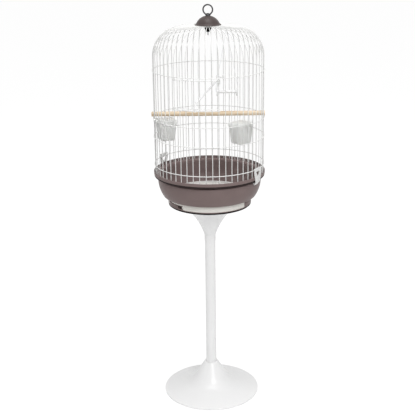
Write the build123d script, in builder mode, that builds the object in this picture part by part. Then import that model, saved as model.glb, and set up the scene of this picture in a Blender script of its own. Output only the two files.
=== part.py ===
"""Round parakeet cage on a column stand: wire dome cage, bowl base with drawer, perches, swing and cups.

Origin: centre of the floor under the foot. +Z is up and -Y is the front, where the door and drawer open.
All lengths are in millimetres.
"""

from build123d import *
from math import atan2, cos, degrees, pi, radians, sin, sqrt
import os

# Stand
foot_radius = 182.0
foot_height = 117.0
foot_wall = 3.0
foot_rim_height = 6.0
foot_neck_margin = 6.5
foot_cone_radius = 59.0
foot_cone_height = 62.0
foot_skirt_radius = 107.5
foot_skirt_height = 26.5
base_plate_inset = 42.0
base_plate_thickness = 6.0
column_diameter = 39.0
column_wall = 1.5
column_clearance = 0.1
plug_length = 24.0
bolt_diameter = 8.0
bolt_head_diameter = 16.0
bolt_length = 22.0
bolt_clearance = 0.3

# Stand head, the trumpet under the base
head_length = 130.0
head_sleeve_wall = 1.9
head_sleeve_length = 2.0
head_bend_radius = 46.0
head_bend_depth = 75.0
head_lip_radius = 96.0
head_lip_depth = 15.0
head_wall = 3.0
hollow_shares = (0.42, 0.7, 0.98)
hollow_lift_share = 1.414
head_socket_depth = 60.0
collar_wall = 1.0
collar_length = 24.0
head_screw_count = 4
head_screw_inset = 25.0
screw_diameter = 4.0
screw_head_diameter = 8.0
screw_length = 5.6

# Base: drawer housing, bowl and floor grille
base_height = 770.0
housing_inset = 35.5
housing_wall = 2.5
housing_floor = 3.0
housing_height = 26.0
drawer_half_angle = 68.0
opening_half_angle = 68.5
bowl_wall = 2.5
bowl_seat_width = 4.5
bowl_corner_radius = 12.0
bowl_side_radius = 112.0
bowl_side_height = 54.0
bowl_neck_length = 10.0
rim_margin = 6.0
rim_overhang = 14.0
rim_overhang_rise = 3.5
rim_band_height = 16.5
rim_roll_radius = 1.2
grille_seat_width = 8.0
grille_thickness = 4.0
grille_frame = 6.0
grille_bar_width = 3.0
grille_bar_pitch = 15.0
grille_rib_width = 4.0

# Drawer
drawer_wall = 2.0
drawer_gap = 0.4
drawer_seat_gap = 0.1
drawer_lip_height = 5.0
pull_start_angle = 24.0
pull_end_angle = 62.0
pocket_end_angle = 36.0
pocket_depth = 14.0

# Cage wires
wire_count = 54
wire_diameter = 2.4
ring_wire_diameter = 2.6
wire_sides = 6
side_wire_count = 14
cage_radius = 196.0
cage_wall_height = 414.0
dome_radius = 100.0
dome_turn_angle = 84.0
dome_chords = 6
crown_lift = 4.5
crown_flat_length = 24.0
crown_radius = 36.0
crown_plate_lap = 8.0
crown_plate_thickness = 1.5
ring_upper_share = 0.8816
ring_perch_share = 0.4734
ring_cup_rise = 2.0
ring_clip_rise = 26.0

# Door
door_half_count = 3.5
door_sill_share = 0.6135
door_bottom_gap = 6.0
door_top_gap = 7.0
door_proud = 0.5
door_end_reach = 3.4
sill_end_reach = 4.0
hinge_clearance = 0.3
hinge_height = 7.0
catch_width = 8.0
catch_inner_depth = 4.0
catch_outer_depth = 7.0
catch_height = 16.0
catch_roof = 2.0
catch_clearance = 0.3

# Cap, hanging ring and nut
cap_margin = 2.8
cap_brim_thickness = 1.4
cap_flare_width = 5.8
cap_flare_height = 5.3
cap_height = 32.0
cap_wall = 2.5
loop_radius = 16.4
loop_wire_diameter = 4.2
loop_sides = 8
loop_chords = 18
loop_seat_rise = 2.1
loop_spread = 4.6
loop_collar_radius = 6.0
loop_collar_height = 3.6
shank_diameter = 6.4
shank_clearance = 0.2
pin_diameter = 3.0
pin_reach = 11.8
nut_radius = 16.0
nut_tip_radius = 5.0
nut_band = 3.0
nut_height = 20.0

# Perches
perch_diameter = 15.0
perch_turn_count = 2
perch_left_overhang = 9.5
perch_right_overhang = 4.5
perch_slot = 3.4
perch_seat_gap = 0.2
rod_diameter = 8.0
rod_front_rise = 26.0
rod_slope_rise = 26.0
rod_front_inset = 10.0
rod_back_inset = 6.0
rod_hook_width = 4.0
rod_hook_thickness = 2.3
rod_hook_lip = 5.0
rod_hook_brace = 9.0
rod_clip_width = 34.0
rod_clip_height = 13.0
rod_clip_inset = 9.0
rod_clip_proud = 1.5
rod_clip_clearance = 0.3

# Swing
swing_turn_count = 2
swing_hang_reach = 5.0
swing_drop = 234.0
swing_bar_length = 66.0
swing_bar_diameter = 11.0
swing_flange_diameter = 30.0
swing_flange_thickness = 4.0
swing_wire_diameter = 2.0
swing_loop_radius = 4.0
swing_pin_reach = 8.0
swing_pin_clearance = 0.2
swing_side_gap = 1.7
swing_hang_gap = 0.1

# Cups
cup_place_count = 8.5
cup_back_gap = 2.3
cup_length = 62.0
cup_width = 66.0
cup_height = 60.0
cup_taper_angle = 5.0
cup_wall = 2.0
cup_corner_radius = 9.0
hood_wall = 1.6
hood_height = 14.0
hood_low_height = 12.0
feed_notch_width = 42.0
feed_notch_depth = 14.0
hook_width = 8.0
hook_thickness = 2.2
hook_clearance = 0.3
hook_lip = 8.0

# Clips
clip_place_count = 10.5
clip_width = 46.0
clip_foot_width = 23.0
clip_thickness = 2.6
clip_eye_width = 7.0
clip_eye_offset = 10.0
clip_eye_radius = 4.2
clip_eye_clearance = 0.6
clip_rim_gap = 1.0
clip_top_rise = 8.0
clip_shoulder_drop = 10.0
clip_bottom_drop = 13.5
clip_foot_lean = 10.0
clip_tooth_length = 11.5
clip_tooth_height = 4.5
clip_tooth_rise = 4.0
clip_window_width = 26.0
clip_window_height = 20.0
clip_window_drop = 5.0

# Shared
cut_overrun = 1.0
seat_gap = 0.3

# Worked out from the sizes above
pitch_angle = 360.0 / wire_count
wire_apothem = wire_diameter / 2
wire_half_rise = wire_apothem / cos(pi / wire_sides)
ring_apothem = ring_wire_diameter / 2
ring_half_rise = ring_apothem / cos(pi / wire_sides)
ring_radius = cage_radius + wire_apothem + ring_apothem
column_radius = column_diameter / 2
foot_neck_radius = column_radius + foot_neck_margin
base_plate_radius = foot_radius - base_plate_inset
head_bottom_height = base_height - head_length
head_throat_height = head_bottom_height + head_sleeve_length
head_bend_height = base_height - head_bend_depth
head_lip_height = base_height - head_lip_depth
head_sleeve_radius = column_radius + column_clearance + head_sleeve_wall
collar_radius = column_radius + column_clearance + collar_wall
collar_bottom_height = head_bottom_height - collar_length
screw_ring_radius = head_lip_radius - head_screw_inset
column_top_height = head_bottom_height + head_socket_depth
rim_radius = cage_radius + rim_margin
bowl_body_radius = rim_radius - rim_overhang
housing_radius = bowl_body_radius - housing_inset
bowl_mouth_radius = housing_radius - bowl_seat_width
grille_radius = bowl_mouth_radius + grille_seat_width
housing_top_height = base_height + housing_height
housing_floor_height = base_height + housing_floor
bowl_floor_height = housing_top_height + bowl_wall
bowl_corner_height = housing_top_height + bowl_corner_radius
bowl_shoulder_height = bowl_corner_height + bowl_side_height
bowl_neck_height = bowl_shoulder_height + bowl_neck_length
rim_bottom_height = bowl_neck_height + rim_overhang_rise
rim_top_height = rim_bottom_height + rim_band_height
ledge_height = rim_bottom_height + bowl_wall
wire_foot_height = ledge_height + ring_wire_diameter
shoulder_height = rim_top_height + cage_wall_height
crown_height = shoulder_height + dome_radius + crown_lift
crown_run_radius = crown_radius + crown_flat_length
crown_plate_radius = crown_radius + crown_plate_lap
cap_brim_radius = crown_plate_radius + cap_margin
cap_radius = cap_brim_radius - cap_flare_width
ring_upper_height = rim_top_height + ring_upper_share * cage_wall_height
ring_perch_height = rim_top_height + ring_perch_share * cage_wall_height
ring_clip_height = rim_top_height + ring_clip_rise
door_sill_height = rim_top_height + door_sill_share * cage_wall_height
door_bottom_height = door_sill_height + door_bottom_gap
door_top_height = ring_upper_height - door_top_gap
door_half_angle = door_half_count * pitch_angle
door_wire_radius = cage_radius + door_proud
door_rail_radius = door_wire_radius + wire_diameter
hook_seat_height = ring_perch_height + ring_half_rise + hook_clearance
hood_top_height = hook_seat_height + hook_thickness
cup_top_height = hood_top_height - hood_height
cup_bottom_height = cup_top_height - cup_height
ring_cup_height = cup_bottom_height + ring_cup_rise
front_angle = -90.0


def polar(radius, angle):
    """A point on a circle about the cage's axis, as x and y."""
    return (radius * cos(radians(angle)), radius * sin(radians(angle)))


def write(builder, label):
    """Label a finished sub-part and write it as its own STEP file."""
    builder.part.label = label
    export_step(builder.part, "parts/" + label + ".step")


os.makedirs("parts", exist_ok=True)


# Foot: a trumpet shell of moulded plastic that slides over the column and stands on its rim.
with BuildPart() as foot:
    with BuildSketch(Plane.XZ):
        with BuildLine():
            edge = Line((foot_radius, 0), (foot_radius, foot_rim_height))
            skirt = Line(edge @ 1, (foot_skirt_radius, foot_skirt_height))
            flare = TangentArc(
                (foot_cone_radius, foot_cone_height),
                skirt @ 1,
                tangent=(foot_cone_radius - foot_neck_radius, foot_cone_height - foot_height),
            )
            cone = Line(flare @ 0, (foot_neck_radius, foot_height))
            Line(cone @ 1, (0, foot_height))
            Line((0, foot_height), (0, 0))
            Line((0, 0), edge @ 0)
        make_face()
    revolve(axis=Axis.Z)
    underside = foot.faces().sort_by(Axis.Z)[0]
    offset(amount=-foot_wall, openings=underside)
    with Locations((0, 0, foot_height)):
        Hole(column_radius + column_clearance)
write(foot, "foot")

# Base plate: the steel disc under the shell that keeps the tall cage upright.
with BuildPart() as base_plate:
    Cylinder(base_plate_radius, base_plate_thickness, align=(Align.CENTER, Align.CENTER, Align.MIN))
    with Locations(Plane.XY.rotated((180, 0, 0))):
        CounterSinkHole((bolt_diameter + bolt_clearance) / 2, (bolt_head_diameter + bolt_clearance) / 2)
write(base_plate, "base_plate")

# Column: a straight steel tube from the plate up into the stand head.
with BuildPart() as column:
    with BuildSketch(Plane.XY.offset(base_plate_thickness)):
        Circle(column_radius)
        Circle(column_radius - column_wall, mode=Mode.SUBTRACT)
    extrude(amount=column_top_height - base_plate_thickness)
write(column, "column")

# Column plug: the threaded block in the tube's foot that the bolt draws down on to the plate.
with BuildPart() as column_plug:
    with BuildSketch(Plane.XY.offset(base_plate_thickness)):
        Circle(column_radius - column_wall - column_clearance)
        Circle(bolt_diameter / 2 + column_clearance, mode=Mode.SUBTRACT)
    extrude(amount=plug_length)
write(column_plug, "column_plug")

# Base bolt: a countersunk bolt from below, flush with the plate.
with BuildPart() as base_bolt:
    bolt_cone = (bolt_head_diameter - bolt_diameter) / 2
    with BuildSketch(Plane.XZ):
        with BuildLine():
            Polyline(
                (0, 0),
                (bolt_head_diameter / 2, 0),
                (bolt_diameter / 2, bolt_cone),
                (bolt_diameter / 2, bolt_length),
                (0, bolt_length),
                close=True,
            )
        make_face()
    revolve(axis=Axis.Z)
write(base_bolt, "base_bolt")

# Column collar: the short sleeve round the column, just below the stand head.
with BuildPart() as column_collar:
    with BuildSketch(Plane.XY.offset(collar_bottom_height)):
        Circle(collar_radius)
        Circle(column_radius + column_clearance, mode=Mode.SUBTRACT)
    extrude(amount=head_bottom_height - collar_bottom_height)
write(column_collar, "column_collar")

# Stand head: a trumpet with a socket for the column and a flat top that carries the base.
with BuildPart() as stand_head:
    with BuildSketch(Plane.XZ):
        with BuildLine():
            bore = column_radius + column_clearance
            flange_bottom = base_height - head_wall
            sleeve = Line((head_sleeve_radius, head_bottom_height), (head_sleeve_radius, head_throat_height))
            trumpet = ThreePointArc(
                sleeve @ 1, (head_bend_radius, head_bend_height), (head_lip_radius, head_lip_height)
            )
            hollow_start, hollow_middle, hollow_end = [trumpet.position_at(share) for share in hollow_shares]
            Polyline(
                trumpet @ 1,
                (head_lip_radius, base_height),
                (bore, base_height),
                (bore, head_bottom_height),
                sleeve @ 0,
            )
        make_face()
    revolve(axis=Axis.Z)
    with BuildSketch(Plane.XZ):
        with BuildLine():
            lift = Vector(0, head_wall * hollow_lift_share)
            inner_lip = head_lip_radius - head_wall
            hollow = ThreePointArc(hollow_start + lift, hollow_middle + lift, hollow_end + lift)
            Polyline(
                hollow @ 1,
                (inner_lip, flange_bottom),
                (column_radius + head_wall, flange_bottom),
                (column_radius + head_wall, column_top_height),
                hollow @ 0,
            )
        make_face()
    revolve(axis=Axis.Z, mode=Mode.SUBTRACT)
    with Locations((0, 0, base_height)):
        with PolarLocations(screw_ring_radius, head_screw_count):
            Hole(screw_diameter / 2 + column_clearance, depth=head_wall + cut_overrun)
write(stand_head, "stand_head")

# Drawer housing: the round pan under the bowl, open at the front for the drawer.
with BuildPart() as drawer_housing:
    with BuildSketch(Plane.XY.offset(base_height)):
        Circle(housing_radius)
    extrude(amount=housing_height)
    with BuildSketch(Plane.XY.offset(housing_floor_height)):
        Circle(housing_radius - housing_wall)
    extrude(amount=housing_height, mode=Mode.SUBTRACT)
    with BuildSketch(Plane.XY.offset(housing_floor_height)):
        with BuildLine():
            reach = housing_radius + housing_wall
            left = polar(reach, front_angle - opening_half_angle)
            right = polar(reach, front_angle + opening_half_angle)
            Line((0, 0), left)
            ThreePointArc(left, polar(reach, front_angle), right)
            Line(right, (0, 0))
        make_face()
    extrude(amount=housing_height, mode=Mode.SUBTRACT)
    with Locations((0, 0, housing_floor_height)):
        with PolarLocations(screw_ring_radius, head_screw_count):
            CounterSinkHole(screw_diameter / 2 + column_clearance, screw_head_diameter / 2 + column_clearance)
write(drawer_housing, "drawer_housing")

# Head screws: countersunk screws that fix the housing's floor to the stand head.
with BuildPart() as head_screws:
    screw_cone = (screw_head_diameter - screw_diameter) / 2
    with BuildSketch(Plane.XZ) as screw_outline:
        with BuildLine():
            Polyline(
                (0, housing_floor_height),
                (screw_head_diameter / 2, housing_floor_height),
                (screw_diameter / 2, housing_floor_height - screw_cone),
                (screw_diameter / 2, housing_floor_height - screw_length),
                (0, housing_floor_height - screw_length),
                close=True,
            )
        make_face()
    one_screw = revolve(screw_outline.sketch, axis=Axis.Z, mode=Mode.PRIVATE)
    with PolarLocations(screw_ring_radius, head_screw_count):
        add(one_screw)
write(head_screws, "head_screws")

# Bowl: one deep moulding with a rounded foot, a swelling side and an overhanging rim with a ledge inside.
with BuildPart() as bowl:
    side_centre = bowl_body_radius - bowl_side_radius
    corner_reach = sqrt((bowl_side_radius - bowl_corner_radius) ** 2 - bowl_side_height**2)
    corner_centre = side_centre + corner_reach
    join_angle = atan2(bowl_side_height, corner_reach)
    with BuildSketch(Plane.XZ):
        with BuildLine():
            foot_edge = Line((bowl_mouth_radius, housing_top_height), (corner_centre, housing_top_height))
            outer_join = (
                corner_centre + bowl_corner_radius * cos(join_angle),
                bowl_corner_height - bowl_corner_radius * sin(join_angle),
            )
            outer_corner = TangentArc(foot_edge @ 1, outer_join, tangent=(1, 0))
            outer_side = TangentArc(
                outer_corner @ 1, (bowl_body_radius, bowl_shoulder_height), tangent=outer_corner % 1
            )
            neck = Line(outer_side @ 1, (bowl_body_radius, bowl_neck_height))
            overhang = Line(neck @ 1, (rim_radius - bowl_wall, rim_bottom_height))
            lip_turn = TangentArc(
                overhang @ 1, (rim_radius, rim_bottom_height + bowl_wall), tangent=(1, 0)
            )
            band = Line(lip_turn @ 1, (rim_radius, rim_top_height - rim_roll_radius))
            roll = TangentArc(band @ 1, (rim_radius - rim_roll_radius, rim_top_height), tangent=(0, 1))
            rim_inside = rim_radius - bowl_wall
            top_edge = Line(roll @ 1, (rim_inside, rim_top_height))
            inner_band = Line(top_edge @ 1, (rim_inside, ledge_height))
            ledge = Line(inner_band @ 1, (bowl_body_radius - bowl_wall, ledge_height))
            inner_neck = Line(ledge @ 1, (bowl_body_radius - bowl_wall, bowl_shoulder_height))
            inner_join = (
                corner_centre + (bowl_corner_radius - bowl_wall) * cos(join_angle),
                bowl_corner_height - (bowl_corner_radius - bowl_wall) * sin(join_angle),
            )
            inner_side = TangentArc(inner_neck @ 1, inner_join, tangent=(0, -1))
            inner_corner = TangentArc(
                inner_side @ 1, (corner_centre, bowl_floor_height), tangent=inner_side % 1
            )
            mouth = Line(inner_corner @ 1, (bowl_mouth_radius, bowl_floor_height))
            Line(mouth @ 1, foot_edge @ 0)
        make_face()
    revolve(axis=Axis.Z)
write(bowl, "bowl")

# Floor grille: a barred disc on the bowl's inner floor, over the drawer.
with BuildPart() as floor_grille:
    with BuildSketch(Plane.XY.offset(bowl_floor_height)):
        Circle(grille_radius)
    extrude(amount=grille_thickness)
    with BuildSketch(Plane.XY.offset(bowl_floor_height)) as grille_gaps:
        Circle(grille_radius - grille_frame)
        bar_rows = int(grille_radius / grille_bar_pitch)
        for row in range(-bar_rows, bar_rows + 1):
            with Locations((0, row * grille_bar_pitch)):
                Rectangle(grille_radius * 2, grille_bar_width, mode=Mode.SUBTRACT)
        Rectangle(grille_rib_width, grille_radius * 2, mode=Mode.SUBTRACT)
    extrude(grille_gaps.sketch, amount=grille_thickness, mode=Mode.SUBTRACT)
write(floor_grille, "floor_grille")

# Drawer: a round-backed tray with straight sides, behind a curved front that closes the housing.
drawer_floor_height = housing_floor_height + drawer_seat_gap
drawer_top_height = housing_top_height - drawer_gap
drawer_inner_front = housing_radius - housing_wall
drawer_half_width = drawer_inner_front * sin(radians(drawer_half_angle))
drawer_depth = drawer_top_height - drawer_floor_height


def tray_outline(inset):
    """The tray's plan: an arc at the front, straight sides and a round back, drawn in by the inset."""
    half_width = drawer_half_width - inset
    front_radius = drawer_inner_front - inset
    corner_y = -sqrt(front_radius**2 - half_width**2)
    with BuildSketch() as outline:
        with BuildLine():
            front = ThreePointArc((-half_width, corner_y), (0, -front_radius), (half_width, corner_y))
            right_side = Line(front @ 1, (half_width, 0))
            back = ThreePointArc(right_side @ 1, (0, half_width), (-half_width, 0))
            Line(back @ 1, front @ 0)
        make_face()
    return outline.sketch


def front_sector(inner, outer, start, end):
    """A band between two radii, from one angle to another, measured from straight ahead to the left."""
    middle = front_angle - (start + end) / 2
    first = front_angle - start
    last = front_angle - end
    with BuildSketch() as sector:
        with BuildLine():
            outer_arc = ThreePointArc(polar(outer, first), polar(outer, middle), polar(outer, last))
            closing = Line(outer_arc @ 1, polar(inner, last))
            inner_arc = ThreePointArc(closing @ 1, polar(inner, middle), polar(inner, first))
            Line(inner_arc @ 1, outer_arc @ 0)
        make_face()
    return sector.sketch


# Drawer tray: the sliding pan, notched at the front for the finger pocket.
pull_height = drawer_depth - drawer_lip_height
pocket_inner_radius = housing_radius - pocket_depth
with BuildPart() as drawer_tray:
    with BuildSketch(Plane.XY.offset(drawer_floor_height)):
        add(tray_outline(seat_gap))
    extrude(amount=drawer_depth)
    with BuildSketch(Plane.XY.offset(drawer_floor_height + drawer_wall)):
        add(tray_outline(seat_gap + drawer_wall))
    extrude(amount=drawer_depth, mode=Mode.SUBTRACT)
    with BuildSketch(Plane.XY.offset(drawer_floor_height)):
        add(front_sector(pocket_inner_radius, housing_radius, pull_start_angle, pocket_end_angle))
    extrude(amount=pull_height, mode=Mode.SUBTRACT)
write(drawer_tray, "drawer_tray")

# Drawer front: the pale curved strip, cut away on the left under its lip to take the pull.
with BuildPart() as drawer_front:
    with BuildSketch(Plane.XY.offset(drawer_floor_height)):
        add(front_sector(drawer_inner_front, housing_radius, -drawer_half_angle, drawer_half_angle))
    extrude(amount=drawer_depth)
    with BuildSketch(Plane.XY.offset(drawer_floor_height)):
        reach = housing_radius + cut_overrun
        behind = drawer_inner_front - cut_overrun
        add(front_sector(behind, reach, pull_start_angle, pull_end_angle))
    extrude(amount=pull_height, mode=Mode.SUBTRACT)
write(drawer_front, "drawer_front")

# Drawer pull: a brown strip in the cut-away, with a finger pocket at the end by the pale strip.
with BuildPart() as drawer_pull:
    with BuildSketch(Plane.XY.offset(drawer_floor_height)):
        add(front_sector(drawer_inner_front, housing_radius, pull_start_angle, pull_end_angle))
        add(front_sector(pocket_inner_radius, housing_radius, pull_start_angle, pocket_end_angle))
    extrude(amount=pull_height)
    with BuildSketch(Plane.XY.offset(drawer_floor_height + drawer_wall)):
        pocket_margin = degrees(drawer_wall / housing_radius)
        pocket_start = pull_start_angle + pocket_margin
        pocket_end = pocket_end_angle - pocket_margin
        pocket_floor = pocket_inner_radius + drawer_wall
        add(front_sector(pocket_floor, housing_radius + cut_overrun, pocket_start, pocket_end))
    extrude(amount=pull_height - 2 * drawer_wall, mode=Mode.SUBTRACT)
write(drawer_pull, "drawer_pull")


def wire_section(plane, thickness, turn=180 / wire_sides):
    """The section of a drawn wire, with flats towards and away from the plane's x direction."""
    with BuildSketch(plane) as section:
        RegularPolygon(thickness / 2, wire_sides, major_radius=False, rotation=turn)
    return section.sketch


def dome_points():
    """The bend of a cage wire from the shoulder to the crown, in its own upright plane."""
    centre = cage_radius - dome_radius
    points = []
    for step in range(dome_chords + 1):
        turn = radians(dome_turn_angle * step / dome_chords)
        points.append((centre + dome_radius * cos(turn), 0, shoulder_height + dome_radius * sin(turn)))
    points.append((crown_run_radius, 0, crown_height))
    points.append((crown_radius, 0, crown_height))
    return points


def cage_wire(foot_at, over_dome=True):
    """One upright wire at angle zero, either up over the dome or cut off below the door."""
    start = (cage_radius, 0, foot_at)
    with BuildPart() as wire:
        with BuildLine():
            if over_dome:
                run = Polyline(start, *dome_points())
            else:
                run = Line(start, (cage_radius, 0, door_sill_height + wire_apothem))
        section = wire_section(Plane(origin=start, x_dir=(1, 0, 0), z_dir=(0, 0, 1)), wire_diameter)
        sweep(section, path=run, transition=Transition.RIGHT)
    return wire.part


def wire_group(wire, first, count):
    """A row of like wires around the cage, from the first wire's number on."""
    with BuildPart(mode=Mode.PRIVATE) as group:
        for number in range(first, first + count):
            add(wire, rotation=(0, 0, number * pitch_angle))
    return group


# Upright wires: the full-length ones stand in the rim and meet under the cap.
first_right = int(round((front_angle + door_half_angle) / pitch_angle))
door_wire_count = int(2 * door_half_count) - 1
full_wire = cage_wire(wire_foot_height)
wires_right = wire_group(full_wire, first_right, side_wire_count)
write(wires_right, "wires_right")
first_back = first_right + side_wire_count
back_count = wire_count - door_wire_count - 2 * side_wire_count
wires_back = wire_group(full_wire, first_back, back_count)
write(wires_back, "wires_back")
wires_left = wire_group(full_wire, first_back + back_count, side_wire_count)
write(wires_left, "wires_left")

# Wires over and under the door: cut off at the upper ring and at the sill.
first_door = first_right - door_wire_count
over_wire = cage_wire(ring_upper_height - ring_apothem)
wires_over_door = wire_group(over_wire, first_door, door_wire_count)
write(wires_over_door, "wires_over_door")
under_wire = cage_wire(wire_foot_height, over_dome=False)
wires_under_door = wire_group(under_wire, first_door, door_wire_count)
write(wires_under_door, "wires_under_door")


def hoop_point(radius, angle, height):
    """A point at any angle on a many-sided hoop that has a flat against each upright."""
    side_angle = round(angle / pitch_angle) * pitch_angle
    x, y = polar(radius / cos(radians(angle - side_angle)), angle)
    return (x, y, height)


def wire_ring(height, radius, turn=180 / wire_sides):
    """A closed hoop of wire with a flat against every upright."""
    half_pitch = pitch_angle / 2
    points = [hoop_point(radius, half_pitch + number * pitch_angle, height) for number in range(wire_count)]
    with BuildPart() as ring:
        with BuildLine():
            run = Polyline(*points, close=True)
        middle = hoop_point(radius, 0, height)
        section = wire_section(Plane(middle, x_dir=(1, 0, 0), z_dir=(0, -1, 0)), ring_wire_diameter, turn)
        sweep(section, path=run, transition=Transition.RIGHT)
    return ring


def wire_rail(height, radius, first_angle, last_angle, thickness):
    """An open rail of wire that bends with the cage, from one angle to the next."""
    first_side = round(first_angle / pitch_angle)
    last_side = round(last_angle / pitch_angle)
    points = [hoop_point(radius, first_angle, height)]
    for side in range(first_side, last_side):
        points.append(hoop_point(radius, (side + 0.5) * pitch_angle, height))
    points.append(hoop_point(radius, last_angle, height))
    side_angle = first_side * pitch_angle
    outward = (*polar(1, side_angle), 0)
    along = (*polar(1, side_angle + 90), 0)
    with BuildPart(mode=Mode.PRIVATE) as rail:
        with BuildLine():
            run = Polyline(*points)
        section = wire_section(Plane(points[0], x_dir=outward, z_dir=along), thickness)
        sweep(section, path=run, transition=Transition.RIGHT)
    return rail.part


# Hoops: four outside the uprights, and one under their feet in the rim.
hoops = {
    "ring_upper": (ring_upper_height, ring_radius),
    "ring_perch": (ring_perch_height, ring_radius),
    "ring_cups": (ring_cup_height, ring_radius),
    "ring_clips": (ring_clip_height, ring_radius),
}
for hoop_name, (hoop_height, hoop_radius) in hoops.items():
    write(wire_ring(hoop_height, hoop_radius), hoop_name)
write(wire_ring(ledge_height + ring_apothem, cage_radius, turn=0), "ring_foot")

# Door sill: the short rail below the door, from one door post to the other.
left_post_angle = front_angle - door_half_angle
right_post_angle = front_angle + door_half_angle
sill_reach = degrees(sill_end_reach / ring_radius)
sill_first = left_post_angle - sill_reach
sill_last = right_post_angle + sill_reach
with BuildPart() as door_sill:
    add(wire_rail(door_sill_height, ring_radius, sill_first, sill_last, ring_wire_diameter))
write(door_sill, "door_sill")

# Door wires: the door's own uprights, just proud of the cage's.
with BuildPart() as door_wires:
    for number in range(first_door, first_right):
        angle = number * pitch_angle
        door_foot = (*polar(door_wire_radius, angle), door_bottom_height)
        outward = (*polar(1, angle), 0)
        add(
            extrude(
                wire_section(Plane(door_foot, x_dir=outward, z_dir=(0, 0, 1)), wire_diameter),
                amount=door_top_height - door_bottom_height,
                mode=Mode.PRIVATE,
            )
        )
write(door_wires, "door_wires")

# Door rails: the upper and lower rails, each ending in a sleeve that turns on the left post.
post_bore = wire_half_rise + hinge_clearance
sleeve_radius = door_rail_radius - cage_radius + wire_apothem
rail_last = right_post_angle + degrees(door_end_reach / door_rail_radius)
lower_rail_height = door_bottom_height + wire_half_rise
upper_rail_height = door_top_height - wire_half_rise
sleeve_bottom = door_sill_height + ring_half_rise + catch_clearance
with BuildPart() as door_rails:
    for rail_height in (lower_rail_height, upper_rail_height):
        add(wire_rail(rail_height, door_rail_radius, left_post_angle, rail_last, wire_diameter))
    post = polar(cage_radius, left_post_angle)
    with BuildSketch(Plane.XY.offset(sleeve_bottom)):
        with Locations(post):
            Circle(sleeve_radius)
    extrude(amount=hinge_height)
    with BuildSketch(Plane.XY.offset(upper_rail_height - hinge_height / 2)):
        with Locations(post):
            Circle(sleeve_radius)
    extrude(amount=hinge_height)
    with BuildSketch(Plane.XY.offset(sleeve_bottom)):
        with Locations(post):
            Circle(post_bore)
    extrude(amount=upper_rail_height + hinge_height - sleeve_bottom, mode=Mode.SUBTRACT)
write(door_rails, "door_rails")

# Door catch: a block moulded on the upper rail, with a slot that pushes over the right post.
post_x, post_y = polar(cage_radius, right_post_angle)
catch_slot_half = wire_half_rise + catch_clearance
catch_bottom_height = door_top_height + catch_roof - catch_height
with BuildPart() as door_catch:
    with BuildSketch(Plane.XY.offset(catch_bottom_height)):
        with Locations((post_x, post_y + (catch_inner_depth - catch_outer_depth) / 2)):
            Rectangle(catch_width, catch_inner_depth + catch_outer_depth)
        with Locations((post_x, post_y - catch_slot_half)):
            Rectangle(
                2 * catch_slot_half,
                catch_slot_half + catch_inner_depth,
                align=(Align.CENTER, Align.MIN),
                mode=Mode.SUBTRACT,
            )
    extrude(amount=catch_height)
    add(
        wire_rail(upper_rail_height, door_rail_radius, left_post_angle, rail_last, wire_diameter),
        mode=Mode.SUBTRACT,
    )
write(door_catch, "door_catch")

# Crown plate: the disc inside the dome that the wires are clamped against.
wire_top_height = crown_height + wire_apothem
plate_top_height = crown_height - wire_apothem
plate_bottom_height = plate_top_height - crown_plate_thickness
shank_bore = shank_diameter / 2 + shank_clearance
with BuildPart() as crown_plate:
    with BuildSketch(Plane.XY.offset(plate_bottom_height)):
        Circle(crown_plate_radius)
        Circle(shank_bore, mode=Mode.SUBTRACT)
    extrude(amount=crown_plate_thickness)
write(crown_plate, "crown_plate")

# Cap: a shallow dome with a flared brim that hides the wires' ends.
cap_top_height = wire_top_height + cap_height
cap_sag = cap_height - cap_flare_height
sphere_radius = (cap_radius**2 + cap_sag**2) / (2 * cap_sag)
sphere_height = cap_top_height - sphere_radius


def dome_arc(sphere, start, end):
    """An arc of the cap's section on one of its two spheres, from radius to radius."""
    middle = (start + end) / 2
    points = [(radius, sphere_height + sqrt(sphere**2 - radius**2)) for radius in (start, middle, end)]
    return ThreePointArc(*points)


with BuildPart() as cap:
    with BuildSketch(Plane.XZ):
        with BuildLine():
            inner_sphere = sphere_radius - cap_wall
            cap_inside = sqrt(inner_sphere**2 - (wire_top_height - sphere_height) ** 2)
            outside = dome_arc(sphere_radius, cap_radius, shank_bore)
            inside = dome_arc(inner_sphere, shank_bore, cap_inside)
            Line(outside @ 1, inside @ 0)
            Polyline(
                inside @ 1,
                (cap_brim_radius, wire_top_height),
                (cap_brim_radius, wire_top_height + cap_brim_thickness),
                outside @ 0,
            )
        make_face()
    revolve(axis=Axis.Z)
write(cap, "cap")

# Hanging ring: a bent wire loop on a shank that runs down through the cap.
loop_drop = loop_radius * sin(radians(45))
nut_top_height = plate_bottom_height
nut_bottom_height = nut_top_height - nut_height
collar_base_height = cap_top_height + seat_gap
loop_foot_height = collar_base_height + loop_seat_rise
loop_centre_height = loop_foot_height + loop_drop - loop_spread + loop_drop
pin_bottom_height = nut_bottom_height - pin_reach
with BuildPart() as hanging_ring:
    with BuildLine():
        loop_points = [(loop_spread, 0, loop_foot_height)]
        for step in range(loop_chords + 1):
            turn = radians(-45 + 270 * step / loop_chords)
            loop_x = loop_radius * cos(turn)
            loop_points.append((loop_x, 0, loop_centre_height + loop_radius * sin(turn)))
        loop_points.append((-loop_spread, 0, loop_foot_height))
        loop_run = Polyline(*loop_points)
    with BuildSketch(Plane(loop_points[0], x_dir=(0, 1, 0), z_dir=(1, 0, 1))) as loop_section:
        RegularPolygon(loop_wire_diameter / 2, loop_sides, major_radius=False)
    sweep(loop_section.sketch, path=loop_run, transition=Transition.RIGHT)
    with BuildSketch(Plane.XY.offset(collar_base_height)):
        Circle(loop_collar_radius)
    extrude(amount=loop_collar_height)
    with BuildSketch(Plane.XY.offset(nut_bottom_height + nut_band)):
        Circle(shank_diameter / 2)
    extrude(amount=collar_base_height - nut_bottom_height)
    with BuildSketch(Plane.XY.offset(pin_bottom_height)):
        Circle(pin_diameter / 2)
    extrude(amount=nut_bottom_height + nut_band - pin_bottom_height)
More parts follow.
